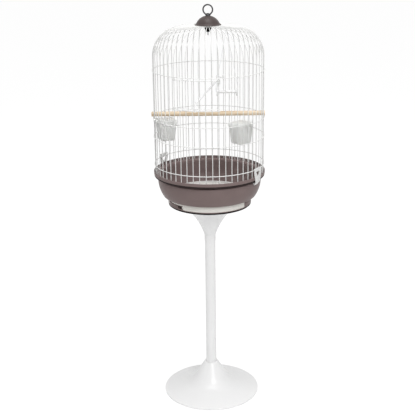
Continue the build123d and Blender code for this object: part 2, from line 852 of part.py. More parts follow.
write(hanging_ring, "hanging_ring")

# Crown nut: the dark tapered nut that draws the shank, cap and plate together.
with BuildPart() as crown_nut:
    with BuildSketch(Plane.XZ):
        with BuildLine():
            thread = shank_diameter / 2 + column_clearance
            pin_bore = pin_diameter / 2 + column_clearance
            nut_step = nut_bottom_height + nut_band - column_clearance
            Polyline(
                (thread, nut_top_height),
                (nut_radius, nut_top_height),
                (nut_radius, nut_top_height - nut_band),
                (nut_tip_radius, nut_bottom_height),
                (pin_bore, nut_bottom_height),
                (pin_bore, nut_step),
                (thread, nut_step),
                close=True,
            )
        make_face()
    revolve(axis=Axis.Z)
write(crown_nut, "crown_nut")

# Wooden perch: a dowel across the cage, its slotted ends astride a post and resting on a hoop.
perch_height = ring_perch_height + ring_half_rise + perch_seat_gap + perch_diameter / 2
perch_left_reach = cage_radius + perch_left_overhang
perch_right_reach = cage_radius + perch_right_overhang
perch_slot_reach = cage_radius - wire_apothem - seat_gap
perch_length = perch_right_reach + perch_left_reach
with BuildPart() as perch_shape:
    with BuildSketch(Plane.YZ.offset(-perch_left_reach)):
        with Locations((0, perch_height)):
            Circle(perch_diameter / 2)
    extrude(amount=perch_length)
    with BuildSketch(Plane.XY.offset(perch_height)):
        slot_length = perch_left_reach
        with Locations((-perch_slot_reach - slot_length / 2, 0), (perch_slot_reach + slot_length / 2, 0)):
            Rectangle(slot_length, perch_slot)
    extrude(amount=perch_diameter, both=True, mode=Mode.SUBTRACT)
with BuildPart() as wooden_perch:
    add(perch_shape.part, rotation=(0, 0, perch_turn_count * pitch_angle))
write(wooden_perch, "wooden_perch")

# Rod perch: a plastic rod from front to back, hooked over the sill and snapped on to two wires behind.
rod_front_height = door_sill_height + rod_front_rise
rod_back_height = rod_front_height + rod_slope_rise
rod_front_reach = cage_radius - rod_front_inset
rod_back_reach = cage_radius - rod_back_inset
rod_clip_inner_reach = cage_radius - rod_clip_inset
rod_run = rod_back_reach + rod_front_reach
rod_front = (0, -rod_front_reach, rod_front_height)
hoop_outer_reach = (ring_radius + ring_apothem) / cos(radians(pitch_angle / 2)) + hook_clearance
sill_top = door_sill_height + ring_half_rise + hook_clearance
hook_top = sill_top + rod_hook_thickness
with BuildPart() as rod_perch:
    with BuildSketch(Plane(rod_front, z_dir=(0, rod_run, rod_slope_rise))):
        Circle(rod_diameter / 2)
    extrude(amount=sqrt(rod_run**2 + rod_slope_rise**2))
    with BuildSketch(Plane.YZ):
        with BuildLine():
            hook_root = cage_radius - wire_diameter
            Polyline(
                (rod_hook_brace - rod_front_reach, rod_front_height - rod_diameter / 2),
                (rod_hook_brace - rod_front_reach, rod_front_height + rod_diameter / 2),
                (-rod_front_reach - rod_hook_thickness, rod_front_height + rod_diameter / 2),
                (-hook_root, hook_top),
                (-hoop_outer_reach - rod_hook_thickness, hook_top),
                (-hoop_outer_reach - rod_hook_thickness, sill_top - rod_hook_lip),
                (-hoop_outer_reach, sill_top - rod_hook_lip),
                (-hoop_outer_reach, sill_top),
                (rod_hook_thickness - hook_root, sill_top),
                close=True,
            )
        make_face()
    extrude(amount=rod_hook_width / 2, both=True)
    with BuildSketch(Plane.XY.offset(rod_back_height - rod_clip_height / 2)):
        clip_depth = rod_clip_inset + rod_clip_proud
        with Locations((0, rod_clip_inner_reach + clip_depth / 2)):
            Rectangle(rod_clip_width, clip_depth)
        for side in (-1, 1):
            wire_x, wire_y = polar(cage_radius, 90 + side * pitch_angle / 2)
            notch_half = wire_half_rise + rod_clip_clearance
            with Locations((wire_x, wire_y - notch_half + clip_depth / 2)):
                Rectangle(2 * notch_half, clip_depth, mode=Mode.SUBTRACT)
    extrude(amount=rod_clip_height)
write(rod_perch, "rod_perch")

# Swing: a dowel between two flanges, hung from a dome wire by a bent wire bail.
swing_wire_rise = swing_wire_diameter / 2 / cos(pi / wire_sides)
swing_offset = crown_run_radius + swing_hang_reach
swing_bar_height = crown_height - swing_drop
crown_slope = dome_points()[-3]
slope_share = (swing_offset - crown_run_radius) / (crown_slope[0] - crown_run_radius)
swing_pivot_height = crown_height - slope_share * (crown_height - crown_slope[2])
loop_inner = swing_loop_radius - swing_wire_rise
swing_loop_height = swing_pivot_height - (loop_inner - wire_half_rise - swing_hang_gap)
swing_half_bar = swing_bar_length / 2
swing_half_width = swing_half_bar + swing_flange_thickness
bail_half_width = swing_half_width + swing_side_gap
pin_bore_radius = swing_wire_rise + swing_pin_clearance
pin_end = swing_half_bar - swing_pin_reach
with BuildPart() as bar_shape:
    with BuildSketch(Plane.YZ.offset(swing_offset - swing_half_bar)):
        with Locations((0, swing_bar_height)):
            Circle(swing_bar_diameter / 2)
    extrude(amount=swing_bar_length)
    for side in (-1, 1):
        with BuildSketch(Plane.YZ.offset(swing_offset + side * swing_half_bar)):
            with Locations((0, swing_bar_height)):
                Circle(pin_bore_radius)
        extrude(amount=-side * (swing_pin_reach + swing_pin_clearance), mode=Mode.SUBTRACT)

with BuildPart() as flanges_shape:
    for side in (-1, 1):
        with BuildSketch(Plane.YZ.offset(swing_offset + side * swing_half_bar)):
            with Locations((0, swing_bar_height)):
                Circle(swing_flange_diameter / 2)
                Circle(pin_bore_radius, mode=Mode.SUBTRACT)
        extrude(amount=side * swing_flange_thickness)

with BuildPart() as bail_shape:
    bail_top = swing_loop_height - swing_loop_radius
    for side in (-1, 1):
        pin_tip = (swing_offset + side * pin_end, 0, swing_bar_height)
        bail_foot = (swing_offset + side * bail_half_width, 0, swing_bar_height)
        bail_shoulder = (bail_foot[0], 0, swing_bar_height + swing_flange_diameter / 2 + swing_side_gap)
        with BuildLine():
            leg_run = Polyline(pin_tip, bail_foot, bail_shoulder, (swing_offset, 0, bail_top))
        leg_section = wire_section(Plane(pin_tip, x_dir=(0, 1, 0), z_dir=(side, 0, 0)), swing_wire_diameter)
        sweep(leg_section, path=leg_run, transition=Transition.RIGHT)
    loop_start = (swing_offset, 0, bail_top)
    loop_section = wire_section(Plane(loop_start, x_dir=(1, 0, 0), z_dir=(0, 1, 0)), swing_wire_diameter)
    revolve(loop_section, axis=Axis((swing_offset, 0, swing_loop_height), (1, 0, 0)))

swing_angle = swing_turn_count * pitch_angle
swing_pieces = {"swing_bar": bar_shape, "swing_flanges": flanges_shape, "swing_bail": bail_shape}
for swing_name, swing_shape in swing_pieces.items():
    with BuildPart() as swing_piece:
        add(swing_shape.part, rotation=(0, 0, swing_angle))
    write(swing_piece, swing_name)

# Cups: two hooded seed and water cups that hang inside the cage on the perch hoop.
cup_outer_radius = cage_radius - wire_apothem - cup_back_gap
cup_middle = cup_outer_radius - cup_length / 2
hook_offset = cage_radius * sin(radians(pitch_angle / 2))
with BuildPart() as cup_shape:
    with BuildSketch(Plane.XY.offset(cup_top_height)):
        with Locations((cup_middle, 0)):
            RectangleRounded(cup_length, cup_width, cup_corner_radius)
    extrude(amount=-cup_height, taper=cup_taper_angle)
    with BuildSketch(Plane.XY.offset(cup_top_height)):
        with Locations((cup_middle, 0)):
            inner_corner_radius = cup_corner_radius - cup_wall
            RectangleRounded(cup_length - 2 * cup_wall, cup_width - 2 * cup_wall, inner_corner_radius)
    extrude(amount=cup_wall - cup_height, taper=cup_taper_angle, mode=Mode.SUBTRACT)
    with BuildSketch(Plane.XY.offset(cup_top_height)):
        with Locations((cup_outer_radius - cup_length, 0)):
            Rectangle(2 * cup_corner_radius, feed_notch_width)
    extrude(amount=-feed_notch_depth, mode=Mode.SUBTRACT)


def hood_solid(inset):
    """The hood's outline as a solid: upright behind, sloping to the front, drawn in by the inset."""
    front = cup_outer_radius - cup_length
    top = hood_top_height - inset
    with BuildPart(mode=Mode.PRIVATE) as hood:
        with BuildSketch(Plane.XZ):
            with BuildLine():
                Polyline(
                    (front, cup_top_height),
                    (cup_outer_radius - inset, cup_top_height),
                    (cup_outer_radius - inset, top),
                    (front, cup_top_height + hood_low_height - inset),
                    close=True,
                )
            make_face()
        extrude(amount=cup_width / 2 - inset, both=True)
        corners = hood.edges().filter_by(Axis.Z).sort_by(Axis.X)[-2:]
        fillet(corners, radius=cup_corner_radius - inset)
    return hood.part


with BuildPart() as hood_shape:
    add(hood_solid(0))
    add(hood_solid(hood_wall), mode=Mode.SUBTRACT)
    for side in (-1, 1):
        with BuildSketch(Plane.XZ.offset(-side * hook_offset)):
            with BuildLine():
                Polyline(
                    (cup_outer_radius - hood_wall, hook_seat_height),
                    (cup_outer_radius - hood_wall, hood_top_height),
                    (hoop_outer_reach + hook_thickness, hood_top_height),
                    (hoop_outer_reach + hook_thickness, hook_seat_height - hook_lip),
                    (hoop_outer_reach, hook_seat_height - hook_lip),
                    (hoop_outer_reach, hook_seat_height),
                    close=True,
                )
            make_face()
        extrude(amount=hook_width / 2, both=True)

cup_turn = cup_place_count * pitch_angle
for cup_side, cup_angle in (("left", front_angle - cup_turn), ("right", front_angle + cup_turn)):
    with BuildPart() as cup:
        add(cup_shape.part, rotation=(0, 0, cup_angle))
    write(cup, "cup_" + cup_side)
    with BuildPart() as cup_hood:
        add(hood_shape.part, rotation=(0, 0, cup_angle))
    write(cup_hood, "cup_hood_" + cup_side)

# Clips: two white clips that turn on the lowest hoop and hook under the bowl's rim.
clip_inner_reach = rim_radius + clip_rim_gap
clip_top_height = ring_clip_height + clip_top_rise
clip_bottom_height = rim_bottom_height - clip_bottom_drop
clip_tooth_bottom = clip_bottom_height + clip_tooth_rise
eye_bore = ring_half_rise + clip_eye_clearance
clip_foot_reach = clip_inner_reach - clip_foot_lean
lean_slope = clip_foot_lean / (rim_bottom_height - clip_bottom_height)
clip_tooth_top = clip_tooth_bottom + clip_tooth_height
tooth_root = clip_inner_reach + clip_thickness / 2
with BuildPart() as clip_shape:
    with BuildSketch(Plane.XZ):
        with BuildLine():
            Polyline(
                (clip_inner_reach, clip_top_height),
                (clip_inner_reach + clip_thickness, clip_top_height),
                (clip_inner_reach + clip_thickness, rim_bottom_height),
                (clip_foot_reach + clip_thickness, clip_bottom_height),
                (clip_foot_reach, clip_bottom_height),
                (clip_inner_reach, rim_bottom_height),
                close=True,
            )
        make_face()
    extrude(amount=clip_width / 2, both=True)
    with BuildSketch(Plane.YZ.offset(clip_foot_reach)):
        with BuildLine():
            half_top = clip_width / 2
            half_foot = clip_foot_width / 2
            shoulder = ring_clip_height - clip_shoulder_drop
            Polyline(
                (-half_top, clip_top_height),
                (half_top, clip_top_height),
                (half_top, shoulder),
                (half_foot, clip_bottom_height),
                (-half_foot, clip_bottom_height),
                (-half_top, shoulder),
                close=True,
            )
        make_face()
        window_top = ring_clip_height - clip_window_drop
        with BuildLine():
            Polyline(
                (-clip_window_width / 2, window_top),
                (clip_window_width / 2, window_top),
                (0, window_top - clip_window_height),
                close=True,
            )
        make_face(mode=Mode.SUBTRACT)
    extrude(amount=clip_foot_lean + clip_thickness, mode=Mode.INTERSECT)
    with BuildSketch(Plane.XZ):
        with BuildLine():
            Polyline(
                (clip_inner_reach - clip_tooth_length, clip_tooth_bottom),
                (tooth_root - lean_slope * (rim_bottom_height - clip_tooth_bottom), clip_tooth_bottom),
                (tooth_root - lean_slope * (rim_bottom_height - clip_tooth_top), clip_tooth_top),
                (clip_inner_reach - clip_tooth_length, clip_tooth_top),
                close=True,
            )
        make_face()
    extrude(amount=clip_foot_width / 2, both=True)
    for side in (-1, 1):
        with BuildSketch(Plane.XZ.offset(-side * clip_eye_offset)):
            web_length = clip_inner_reach - ring_radius
            with Locations((ring_radius, ring_clip_height)):
                Circle(clip_eye_radius)
            with Locations((ring_radius + web_length / 2, ring_clip_height)):
                Rectangle(web_length, clip_eye_radius)
            with Locations((ring_radius, ring_clip_height)):
                Circle(eye_bore, mode=Mode.SUBTRACT)
        extrude(amount=clip_eye_width / 2, both=True)

clip_turn = clip_place_count * pitch_angle
for clip_side, clip_angle in (("left", front_angle + clip_turn + 180), ("right", front_angle + clip_turn)):
    with BuildPart() as clip:
        add(clip_shape.part, rotation=(0, 0, clip_angle))
    write(clip, "clip_" + clip_side)
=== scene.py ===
# %% [markdown]
# # A round parakeet cage on its column stand
#
# This lesson dresses a finished CAD model of a bird cage. The model comes in as a fixed frame: we never move
# it, and every piece that we make stands where the frame says.

# %% Load the frame
import math
import bpy
from mathutils import Matrix, Vector


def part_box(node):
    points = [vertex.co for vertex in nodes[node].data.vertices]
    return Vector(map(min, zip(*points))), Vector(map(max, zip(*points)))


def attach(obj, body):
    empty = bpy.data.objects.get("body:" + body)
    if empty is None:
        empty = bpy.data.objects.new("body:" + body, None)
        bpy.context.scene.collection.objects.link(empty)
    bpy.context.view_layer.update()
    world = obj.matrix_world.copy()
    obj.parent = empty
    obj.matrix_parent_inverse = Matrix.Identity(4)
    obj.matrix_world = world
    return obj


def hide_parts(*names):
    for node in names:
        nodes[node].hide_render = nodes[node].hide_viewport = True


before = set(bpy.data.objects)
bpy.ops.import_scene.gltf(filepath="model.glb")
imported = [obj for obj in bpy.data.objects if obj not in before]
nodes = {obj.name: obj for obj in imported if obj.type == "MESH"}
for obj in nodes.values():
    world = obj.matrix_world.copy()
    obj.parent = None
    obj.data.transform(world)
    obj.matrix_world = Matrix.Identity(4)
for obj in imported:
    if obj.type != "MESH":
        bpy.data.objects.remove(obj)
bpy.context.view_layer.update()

# %% [markdown]
# ## A few habits
#
# Blender's operators act on whatever is selected, so each piece starts from an empty selection. Sizes are
# written in millimetres, as on the drawing, and `MM` turns them into Blender's metres. A finished piece
# keeps its place in its mesh and its object at the origin, because a pattern on Object coordinates would
# slide if the object moved.

# %% Habits: select, edit, apply the place, smooth the faces
MM = 0.001
SMOOTH_ANGLE = 35


def select_only(piece=None):
    if bpy.context.mode != "OBJECT":
        bpy.ops.object.mode_set(mode="OBJECT")
    bpy.ops.object.select_all(action="DESELECT")
    if piece is not None:
        piece.select_set(True)
        bpy.context.view_layer.objects.active = piece


def edit_all():
    bpy.ops.object.mode_set(mode="EDIT")
    bpy.ops.mesh.select_all(action="SELECT")


def leave_edit():
    bpy.ops.object.mode_set(mode="OBJECT")


def settle(piece, smooth=SMOOTH_ANGLE):
    """Write the place into the mesh and shade it smooth up to this angle."""
    select_only(piece)
    bpy.ops.object.transform_apply(location=True, rotation=True, scale=True)
    bpy.ops.object.shade_smooth_by_angle(angle=math.radians(smooth))
    return piece


def apply_modifier(piece, name, kind, **settings):
    select_only(piece)
    modifier = piece.modifiers.new(name, kind)
    for key, value in settings.items():
        setattr(modifier, key, value)
    bpy.ops.object.modifier_apply(modifier=modifier.name)
    return piece


def soften(piece, width, segments=2, angle=32):
    """Round the edges that are sharper than the angle; width is in millimetres."""
    return apply_modifier(piece, "soft_edges", "BEVEL", width=width * MM, segments=segments,
                          limit_method="ANGLE", angle_limit=math.radians(angle))


def close_up(piece, gap=0.02):
    """Merge points that meet, then turn every face outwards."""
    select_only(piece)
    edit_all()
    bpy.ops.mesh.remove_doubles(threshold=gap * MM)
    bpy.ops.mesh.normals_make_consistent(inside=False)
    leave_edit()
    return piece


def join(parts):
    """Join the parts into the first one."""
    select_only(parts[0])
    for part in parts[1:]:
        part.select_set(True)
    bpy.ops.object.join()
    return parts[0]


def carve(piece, tool):
    """Cut the tool's shape out of a piece and throw the tool away."""
    apply_modifier(piece, "carved", "BOOLEAN", operation="DIFFERENCE", object=tool, solver="EXACT")
    bpy.data.objects.remove(tool)
    return piece


# %% [markdown]
# ## Finishes
#
# The cage has a few finishes: moulded plastics from white to black, white coated wire, dark steel wire,
# cloudy feeder plastic, pale wood and a little zinc. Each one starts from the Principled shader. What is
# even all over is set on the shader itself, and what varies is painted by noise that reads Object
# coordinates, so the pattern keeps its real size on every piece.

# %% A finish starts from one shader
NOISE_LOW, NOISE_HIGH = 0.3, 0.7


def start_finish(name, colour, roughness, **sockets):
    material = bpy.data.materials.new(name)
    material.use_nodes = True
    shader = material.node_tree.nodes["Principled BSDF"]
    shader.inputs["Base Color"].default_value = (*colour, 1)
    shader.inputs["Roughness"].default_value = roughness
    for socket, value in sockets.items():
        shader.inputs[socket.replace("_", " ")].default_value = value
    return material, shader


def noise(material, scale, detail=3.0, longer=(1, 1, 1), rough=0.5, turn=0):
    """A noise in real size: scale is how many lumps a metre holds, longer draws them out along an axis."""
    tree = material.node_tree
    place = tree.nodes.new("ShaderNodeTexCoord")
    mapping = tree.nodes.new("ShaderNodeMapping")
    mapping.vector_type = "TEXTURE"
    mapping.inputs["Rotation"].default_value = (0, 0, math.radians(turn))
    mapping.inputs["Scale"].default_value = longer
    pattern = tree.nodes.new("ShaderNodeTexNoise")
    pattern.inputs["Scale"].default_value = scale
    pattern.inputs["Detail"].default_value = detail
    pattern.inputs["Roughness"].default_value = rough
    tree.links.new(place.outputs["Object"], mapping.inputs["Vector"])
    tree.links.new(mapping.outputs["Vector"], pattern.inputs["Vector"])
    return pattern.outputs["Fac"]


def paint(material, shader, fac, stops):
    """Colour the surface by a noise; stops are (place, colour)."""
    node = material.node_tree.nodes.new("ShaderNodeValToRGB")
    node.color_ramp.elements[0].position = stops[0][0]
    node.color_ramp.elements[0].color = (*stops[0][1], 1)
    node.color_ramp.elements[1].position = stops[-1][0]
    node.color_ramp.elements[1].color = (*stops[-1][1], 1)
    for position, colour in stops[1:-1]:
        node.color_ramp.elements.new(position).color = (*colour, 1)
    material.node_tree.links.new(fac, node.inputs["Fac"])
    material.node_tree.links.new(node.outputs["Color"], shader.inputs["Base Color"])


def vary_roughness(material, shader, fac, low, high):
    """Let the roughness follow a noise, which seldom leaves its middle values."""
    node = material.node_tree.nodes.new("ShaderNodeMapRange")
    node.inputs["From Min"].default_value = NOISE_LOW
    node.inputs["From Max"].default_value = NOISE_HIGH
    node.inputs["To Min"].default_value = low
    node.inputs["To Max"].default_value = high
    material.node_tree.links.new(fac, node.inputs["Value"])
    material.node_tree.links.new(node.outputs["Result"], shader.inputs["Roughness"])


def bump(material, shader, fac, height, strength=1.0):
    """Raise the surface by the noise; height is in millimetres."""
    node = material.node_tree.nodes.new("ShaderNodeBump")
    node.inputs["Distance"].default_value = height * MM
    node.inputs["Strength"].default_value = strength
    material.node_tree.links.new(fac, node.inputs["Height"])
    material.node_tree.links.new(node.outputs["Normal"], shader.inputs["Normal"])


def tint(colour, share):
    return tuple(min(1.0, channel * share) for channel in colour)


def drifting(colour, drift):
    """Stops that make a colour a little darker and a little lighter than it is."""
    return [(NOISE_LOW, tint(colour, 1 - drift)), (NOISE_HIGH, tint(colour, 1 + drift))]


# %% [markdown]
# ### Moulded plastics
#
# Injection-moulded plastic is never quite even: the colour drifts a little over a hand's width, and the
# mould leaves a fine satin grain. Two noises do it, a wide faint one for the colour and a fine one for the
# bump and the roughness. The same recipe serves every moulding here with other numbers. The dark ones
# shine less, because a bright room on a dark face would turn it grey.

# %% Moulded plastics
def moulded(name, colour, roughness, grain, drift, **sockets):
    """A moulded plastic; grain is the height of its bump in millimetres, drift its change of colour."""
    material, shader = start_finish(name, colour, roughness, **sockets)
    wide = noise(material, 9, detail=4, rough=0.6)
    paint(material, shader, wide, drifting(colour, drift))
    fine = noise(material, 1400, detail=2)
    vary_roughness(material, shader, fine, roughness - 0.05, roughness + 0.06)
    bump(material, shader, fine, grain)
    return material


TAUPE = (0.190, 0.143, 0.138)
# The cap's taupe: a little darker than the bowl's in itself, and painted darker still as shade on its upward
# faces.
CAP_TAUPE_WITH_PAINTED_SHADE = (0.066, 0.050, 0.048)
# Dark brown for the painted shade under the bowl's rim, standing in for the overhang's shadow.
RIM_SHADE_BROWN = (0.030, 0.022, 0.021)
NEARLY_BLACK = (0.004, 0.004, 0.004)
STAND_WHITE = (0.86, 0.86, 0.86)
CLIP_WHITE = (0.70, 0.70, 0.69)
WARM_WHITE = (0.70, 0.68, 0.64)
taupe_moulding = moulded("taupe_moulding", TAUPE, 0.40, grain=0.04, drift=0.06, Specular_IOR_Level=0.12)
white_moulding = moulded("white_moulding", STAND_WHITE, 0.26, grain=0.01, drift=0.012)
clip_moulding = moulded("clip_moulding", CLIP_WHITE, 0.34, grain=0.02, drift=0.02)
drawer_moulding = moulded("drawer_moulding", WARM_WHITE, 0.42, grain=0.03, drift=0.03)
cap_moulding = moulded("cap_moulding", CAP_TAUPE_WITH_PAINTED_SHADE, 0.40, grain=0.03, drift=0.08, Specular_IOR_Level=0.22)
rim_shade_moulding = moulded("rim_shade_moulding", RIM_SHADE_BROWN, 0.6, grain=0.02, drift=0.1, Specular_IOR_Level=0.1)
# Near-black serves twice: the crown nut's own black, and the painted shade under the housing.
black_and_shade_moulding = moulded("black_and_shade_moulding", NEARLY_BLACK, 0.6, grain=0.02, drift=0.1, Specular_IOR_Level=0.05)
print("plastics:", [m.name for m in bpy.data.materials if m.name.endswith("moulding")])

# %% [markdown]
# ### Cloudy feeder plastic
#
# The feeder cups are thin, milky polystyrene: light passes, but scattered. Some transmission with a rough
# surface gives that without making clear glass, and the wide noise makes the cloudiness uneven.

# %% Cloudy plastic
CLOUDY = (0.965, 0.97, 0.955)
cloudy_plastic, cloudy_shader = start_finish("cloudy_plastic", CLOUDY, 0.34, Transmission_Weight=0.6, IOR=1.5)
paint(cloudy_plastic, cloudy_shader, noise(cloudy_plastic, 25, detail=4), drifting(CLOUDY, 0.03))
cloudy_fine = noise(cloudy_plastic, 900)
vary_roughness(cloudy_plastic, cloudy_shader, cloudy_fine, 0.28, 0.42)
bump(cloudy_plastic, cloudy_shader, cloudy_fine, 0.02)

# %% [markdown]
# ### Coated and bare metal
#
# The cage wire is dipped or powder coated: white, slightly thick, with soft runs along the wire. Drawing
# the noise out along Z makes those runs on the uprights. The hanging ring is darker bare wire. The screws
# are zinc plated, and a Voronoi pattern gives the zinc its faint crystal spangle.

# %% Coated wire, dark wire and zinc
def coated(name, colour, longer):
    material, shader = start_finish(name, colour, 0.3)
    runs = noise(material, 420, detail=3, longer=longer)
    paint(material, shader, runs, [(0.25, tint(colour, 0.95)), (0.7, tint(colour, 1.02))])
    vary_roughness(material, shader, runs, 0.24, 0.38)
    bump(material, shader, runs, 0.05, 0.6)
    return material


upright_coating = coated("upright_coating", (0.72, 0.72, 0.71), (1, 1, 8))
hoop_coating = coated("hoop_coating", (0.77, 0.77, 0.76), (3, 3, 1))
# The grille's white is partly its own coating and partly painted light: it is set lighter than the other wire
# to make up for the shade inside the deep bowl.
grille_coating_painted_light = coated("grille_coating_painted_light", (0.94, 0.935, 0.915), (7, 1, 1))

dark_wire, dark_shader = start_finish("dark_wire", (0.045, 0.044, 0.046), 0.42, Metallic=0.4)
dark_runs = noise(dark_wire, 700, detail=4, longer=(1, 1, 2.5))
paint(dark_wire, dark_shader, dark_runs, [(0.3, (0.030, 0.029, 0.031)), (0.7, (0.065, 0.064, 0.066))])
vary_roughness(dark_wire, dark_shader, dark_runs, 0.3, 0.5)
bump(dark_wire, dark_shader, dark_runs, 0.03)

zinc, zinc_shader = start_finish("zinc", (0.82, 0.83, 0.84), 0.34, Metallic=1.0)
spangle = zinc.node_tree.nodes.new("ShaderNodeTexVoronoi")
spangle.inputs["Scale"].default_value = 600
spangle_place = zinc.node_tree.nodes.new("ShaderNodeTexCoord")
zinc.node_tree.links.new(spangle_place.outputs["Object"], spangle.inputs["Vector"])
paint(zinc, zinc_shader, spangle.outputs["Distance"], [(0.0, (0.76, 0.77, 0.78)), (0.8, (0.90, 0.91, 0.92))])
bump(zinc, zinc_shader, noise(zinc, 900), 0.01)

# %% [markdown]
# ### Pale wood
#
# The perch is turned from pale softwood, and the grain runs along it. It crosses the cage at a slant, two
# wires' turn from the X axis, so the noise is turned as far and drawn out twentyfold along that line. A
# second, finer one adds the pores and raises the surface a little.

# %% Pale wood
WIRE_COUNT = 54
PITCH = 360 / WIRE_COUNT
SLANT = 2 * PITCH
wood, wood_shader = start_finish("pale_wood", (0.66, 0.52, 0.36), 0.6)
grain = noise(wood, 190, detail=6, longer=(20, 1, 1), rough=0.62, turn=SLANT)
paint(wood, wood_shader, grain, [(0.25, (0.50, 0.36, 0.22)), (0.45, (0.70, 0.55, 0.38)),
                                 (0.62, (0.78, 0.65, 0.49)), (0.8, (0.62, 0.47, 0.31))])
pores = noise(wood, 1500, detail=2, longer=(12, 1, 1), turn=SLANT)
vary_roughness(wood, wood_shader, pores, 0.5, 0.72)
bump(wood, wood_shader, pores, 0.06)

# %% [markdown]
# ## Dressing a piece
#
# Each finished piece takes its material, rides on the CAD body that carries it, and names the CAD nodes
# that it stands for. CAD nodes that stay, such as the screws and the plate in the foot, only take a
# material.

# %% Dress pieces and the CAD nodes that stay
def dress(piece, material, body, replaced):
    piece.data.materials.clear()
    piece.data.materials.append(material)
    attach(piece, body)
    if replaced:
        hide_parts(*replaced)
    print(f"{piece.name}: {len(piece.data.polygons)} faces, on {body}")


staying = {
    "base_plate": dark_wire, "column_plug": zinc, "base_bolt": zinc, "head_screws": zinc,
    "crown_plate": dark_wire, "drawer_tray": drawer_moulding,
}
for node_name, material in staying.items():
    node = nodes[node_name]
    node.data.materials.clear()
    node.data.materials.append(material)
print("CAD nodes that stay:", sorted(staying))

# %% [markdown]
# ## Turned shapes
#
# Foot, column, head, bowl and cap are all round about the column's axis. A maker would turn or mould them
# from one section, and we do the same: a ring of points is added at the first point of the outline, then
# extruded and scaled from point to point. Arcs in an outline come from their centre and radius, so they
# stay true circles.

# %% The turning helper
def arc(centre, radius, start, end, steps):
    """Points on an arc of an outline, from one angle to another in degrees."""
    angles = [math.radians(start + (end - start) * step / steps) for step in range(steps + 1)]
    return [(centre[0] + radius * math.cos(a), centre[1] + radius * math.sin(a)) for a in angles]


def arc_through(first, middle, last, steps):
    """Points on the arc through three points."""
    (ax, ay), (bx, by), (cx, cy) = first, middle, last
    d = 2 * (ax * (by - cy) + bx * (cy - ay) + cx * (ay - by))
    ux = ((ax**2 + ay**2) * (by - cy) + (bx**2 + by**2) * (cy - ay) + (cx**2 + cy**2) * (ay - by)) / d
    uy = ((ax**2 + ay**2) * (cx - bx) + (bx**2 + by**2) * (ax - cx) + (cx**2 + cy**2) * (bx - ax)) / d
    start = math.degrees(math.atan2(ay - uy, ax - ux))
    end = math.degrees(math.atan2(cy - uy, cx - ux))
    if end - start > 180:
        end -= 360
    if start - end > 180:
        end += 360
    return arc((ux, uy), math.hypot(ax - ux, ay - uy), start, end, steps)


def turned(name, outline, sides=128, closed=False):
    """Pull a ring of points along an outline of (radius, height)."""
    select_only()
    radius, height = outline[0]
    bpy.ops.mesh.primitive_circle_add(vertices=sides, radius=radius * MM, location=(0, 0, height * MM))
    piece = bpy.context.object
    piece.name = name
    edit_all()
    stations = outline + outline[:1] if closed else outline
    for (was_r, was_z), (now_r, now_z) in zip(stations, stations[1:]):
        bpy.ops.mesh.extrude_region_move(TRANSFORM_OT_translate={"value": (0, 0, (now_z - was_z) * MM)})
        share = now_r / was_r
        bpy.ops.transform.resize(value=(share, share, 1), center_override=(0, 0, now_z * MM))
    leave_edit()
    return close_up(piece)


# %% [markdown]
# ### The foot
#
# The foot is a white trumpet: a low cone that sweeps up in one curve to a steep neck round the column. We
# turn only the outer skin, and a Solidify modifier gives the moulding its wall.

# %% Foot
FOOT_RADIUS = 182.0
CONE_RUN, CONE_RISE, CONE_STEPS = 74.5, 20.5, 8
foot_outline = [(180.8, 0.0), (FOOT_RADIUS, 1.4), (FOOT_RADIUS, 5.0), (181.2, 6.2)]
foot_outline += [(FOOT_RADIUS - CONE_RUN * s / CONE_STEPS, 6.0 + CONE_RISE * s / CONE_STEPS)
                 for s in range(1, CONE_STEPS)]
foot_outline += arc((125.4, 101.8), 77.4, 256.6, 210.9, 16)
foot_outline += [(50.0, 77.0), (40.0, 93.7), (32.0, 107.0), (26.6, 116.0), (25.2, 117.0), (19.8, 117.0)]
foot = turned("foot_shell", foot_outline, sides=160)
apply_modifier(foot, "wall", "SOLIDIFY", thickness=3 * MM, offset=-1)
dress(settle(foot), white_moulding, "cage", ["foot"])

# %% [markdown]
# ### Column, collar and head
#
# A plain white tube stands in the foot. Just under the cage it passes through a short collar, and above
# that a second trumpet opens out to carry the drawer's housing. Their edges catch the light as thin lines,
# so each outline has a small chamfer there. The trumpet is hollow: a second turned shape cuts its inside.

# %% Column, collar and stand head
COLUMN_RADIUS, SOCKET_RADIUS, LIP_RADIUS = 19.5, 19.6, 96.0
COLUMN_TOP, HEAD_BOTTOM, HEAD_TOP = 700.0, 640.0, 770.0
column = turned("column_tube", [(COLUMN_RADIUS, z) for z in (6.0, 200.0, 450.0, COLUMN_TOP)], sides=64)
apply_modifier(column, "wall", "SOLIDIFY", thickness=1.5 * MM, offset=-1)
dress(settle(column), white_moulding, "cage", ["column"])

collar_outline = [(SOCKET_RADIUS, 616.0), (20.1, 616.0), (20.6, 616.6), (20.6, 639.6), (20.2, HEAD_BOTTOM)]
collar_outline += [(SOCKET_RADIUS, HEAD_BOTTOM)]
collar = turned("column_sleeve", collar_outline, sides=64, closed=True)
dress(settle(collar), white_moulding, "cage", ["column_collar"])

head_outline = [(SOCKET_RADIUS, HEAD_BOTTOM), (21.0, HEAD_BOTTOM), (21.5, 640.5)]
head_outline += arc_through((21.5, 642.0), (46.0, 695.0), (LIP_RADIUS, 755.0), 22)
head_outline += [(LIP_RADIUS, 756.0), (LIP_RADIUS, 769.2), (95.2, HEAD_TOP), (SOCKET_RADIUS, HEAD_TOP)]
head = turned("stand_trumpet", head_outline, sides=128, closed=True)
hollow_outline = [(22.5, 767.0), (22.5, COLUMN_TOP)]
hollow_outline += arc_through((45.5, 698.4), (62.8, 723.7), (94.0, 757.4), 16) + [(93.0, 767.0)]
carve(head, turned("head_hollow", hollow_outline, sides=128, closed=True))
dress(settle(head), white_moulding, "cage", ["stand_head"])
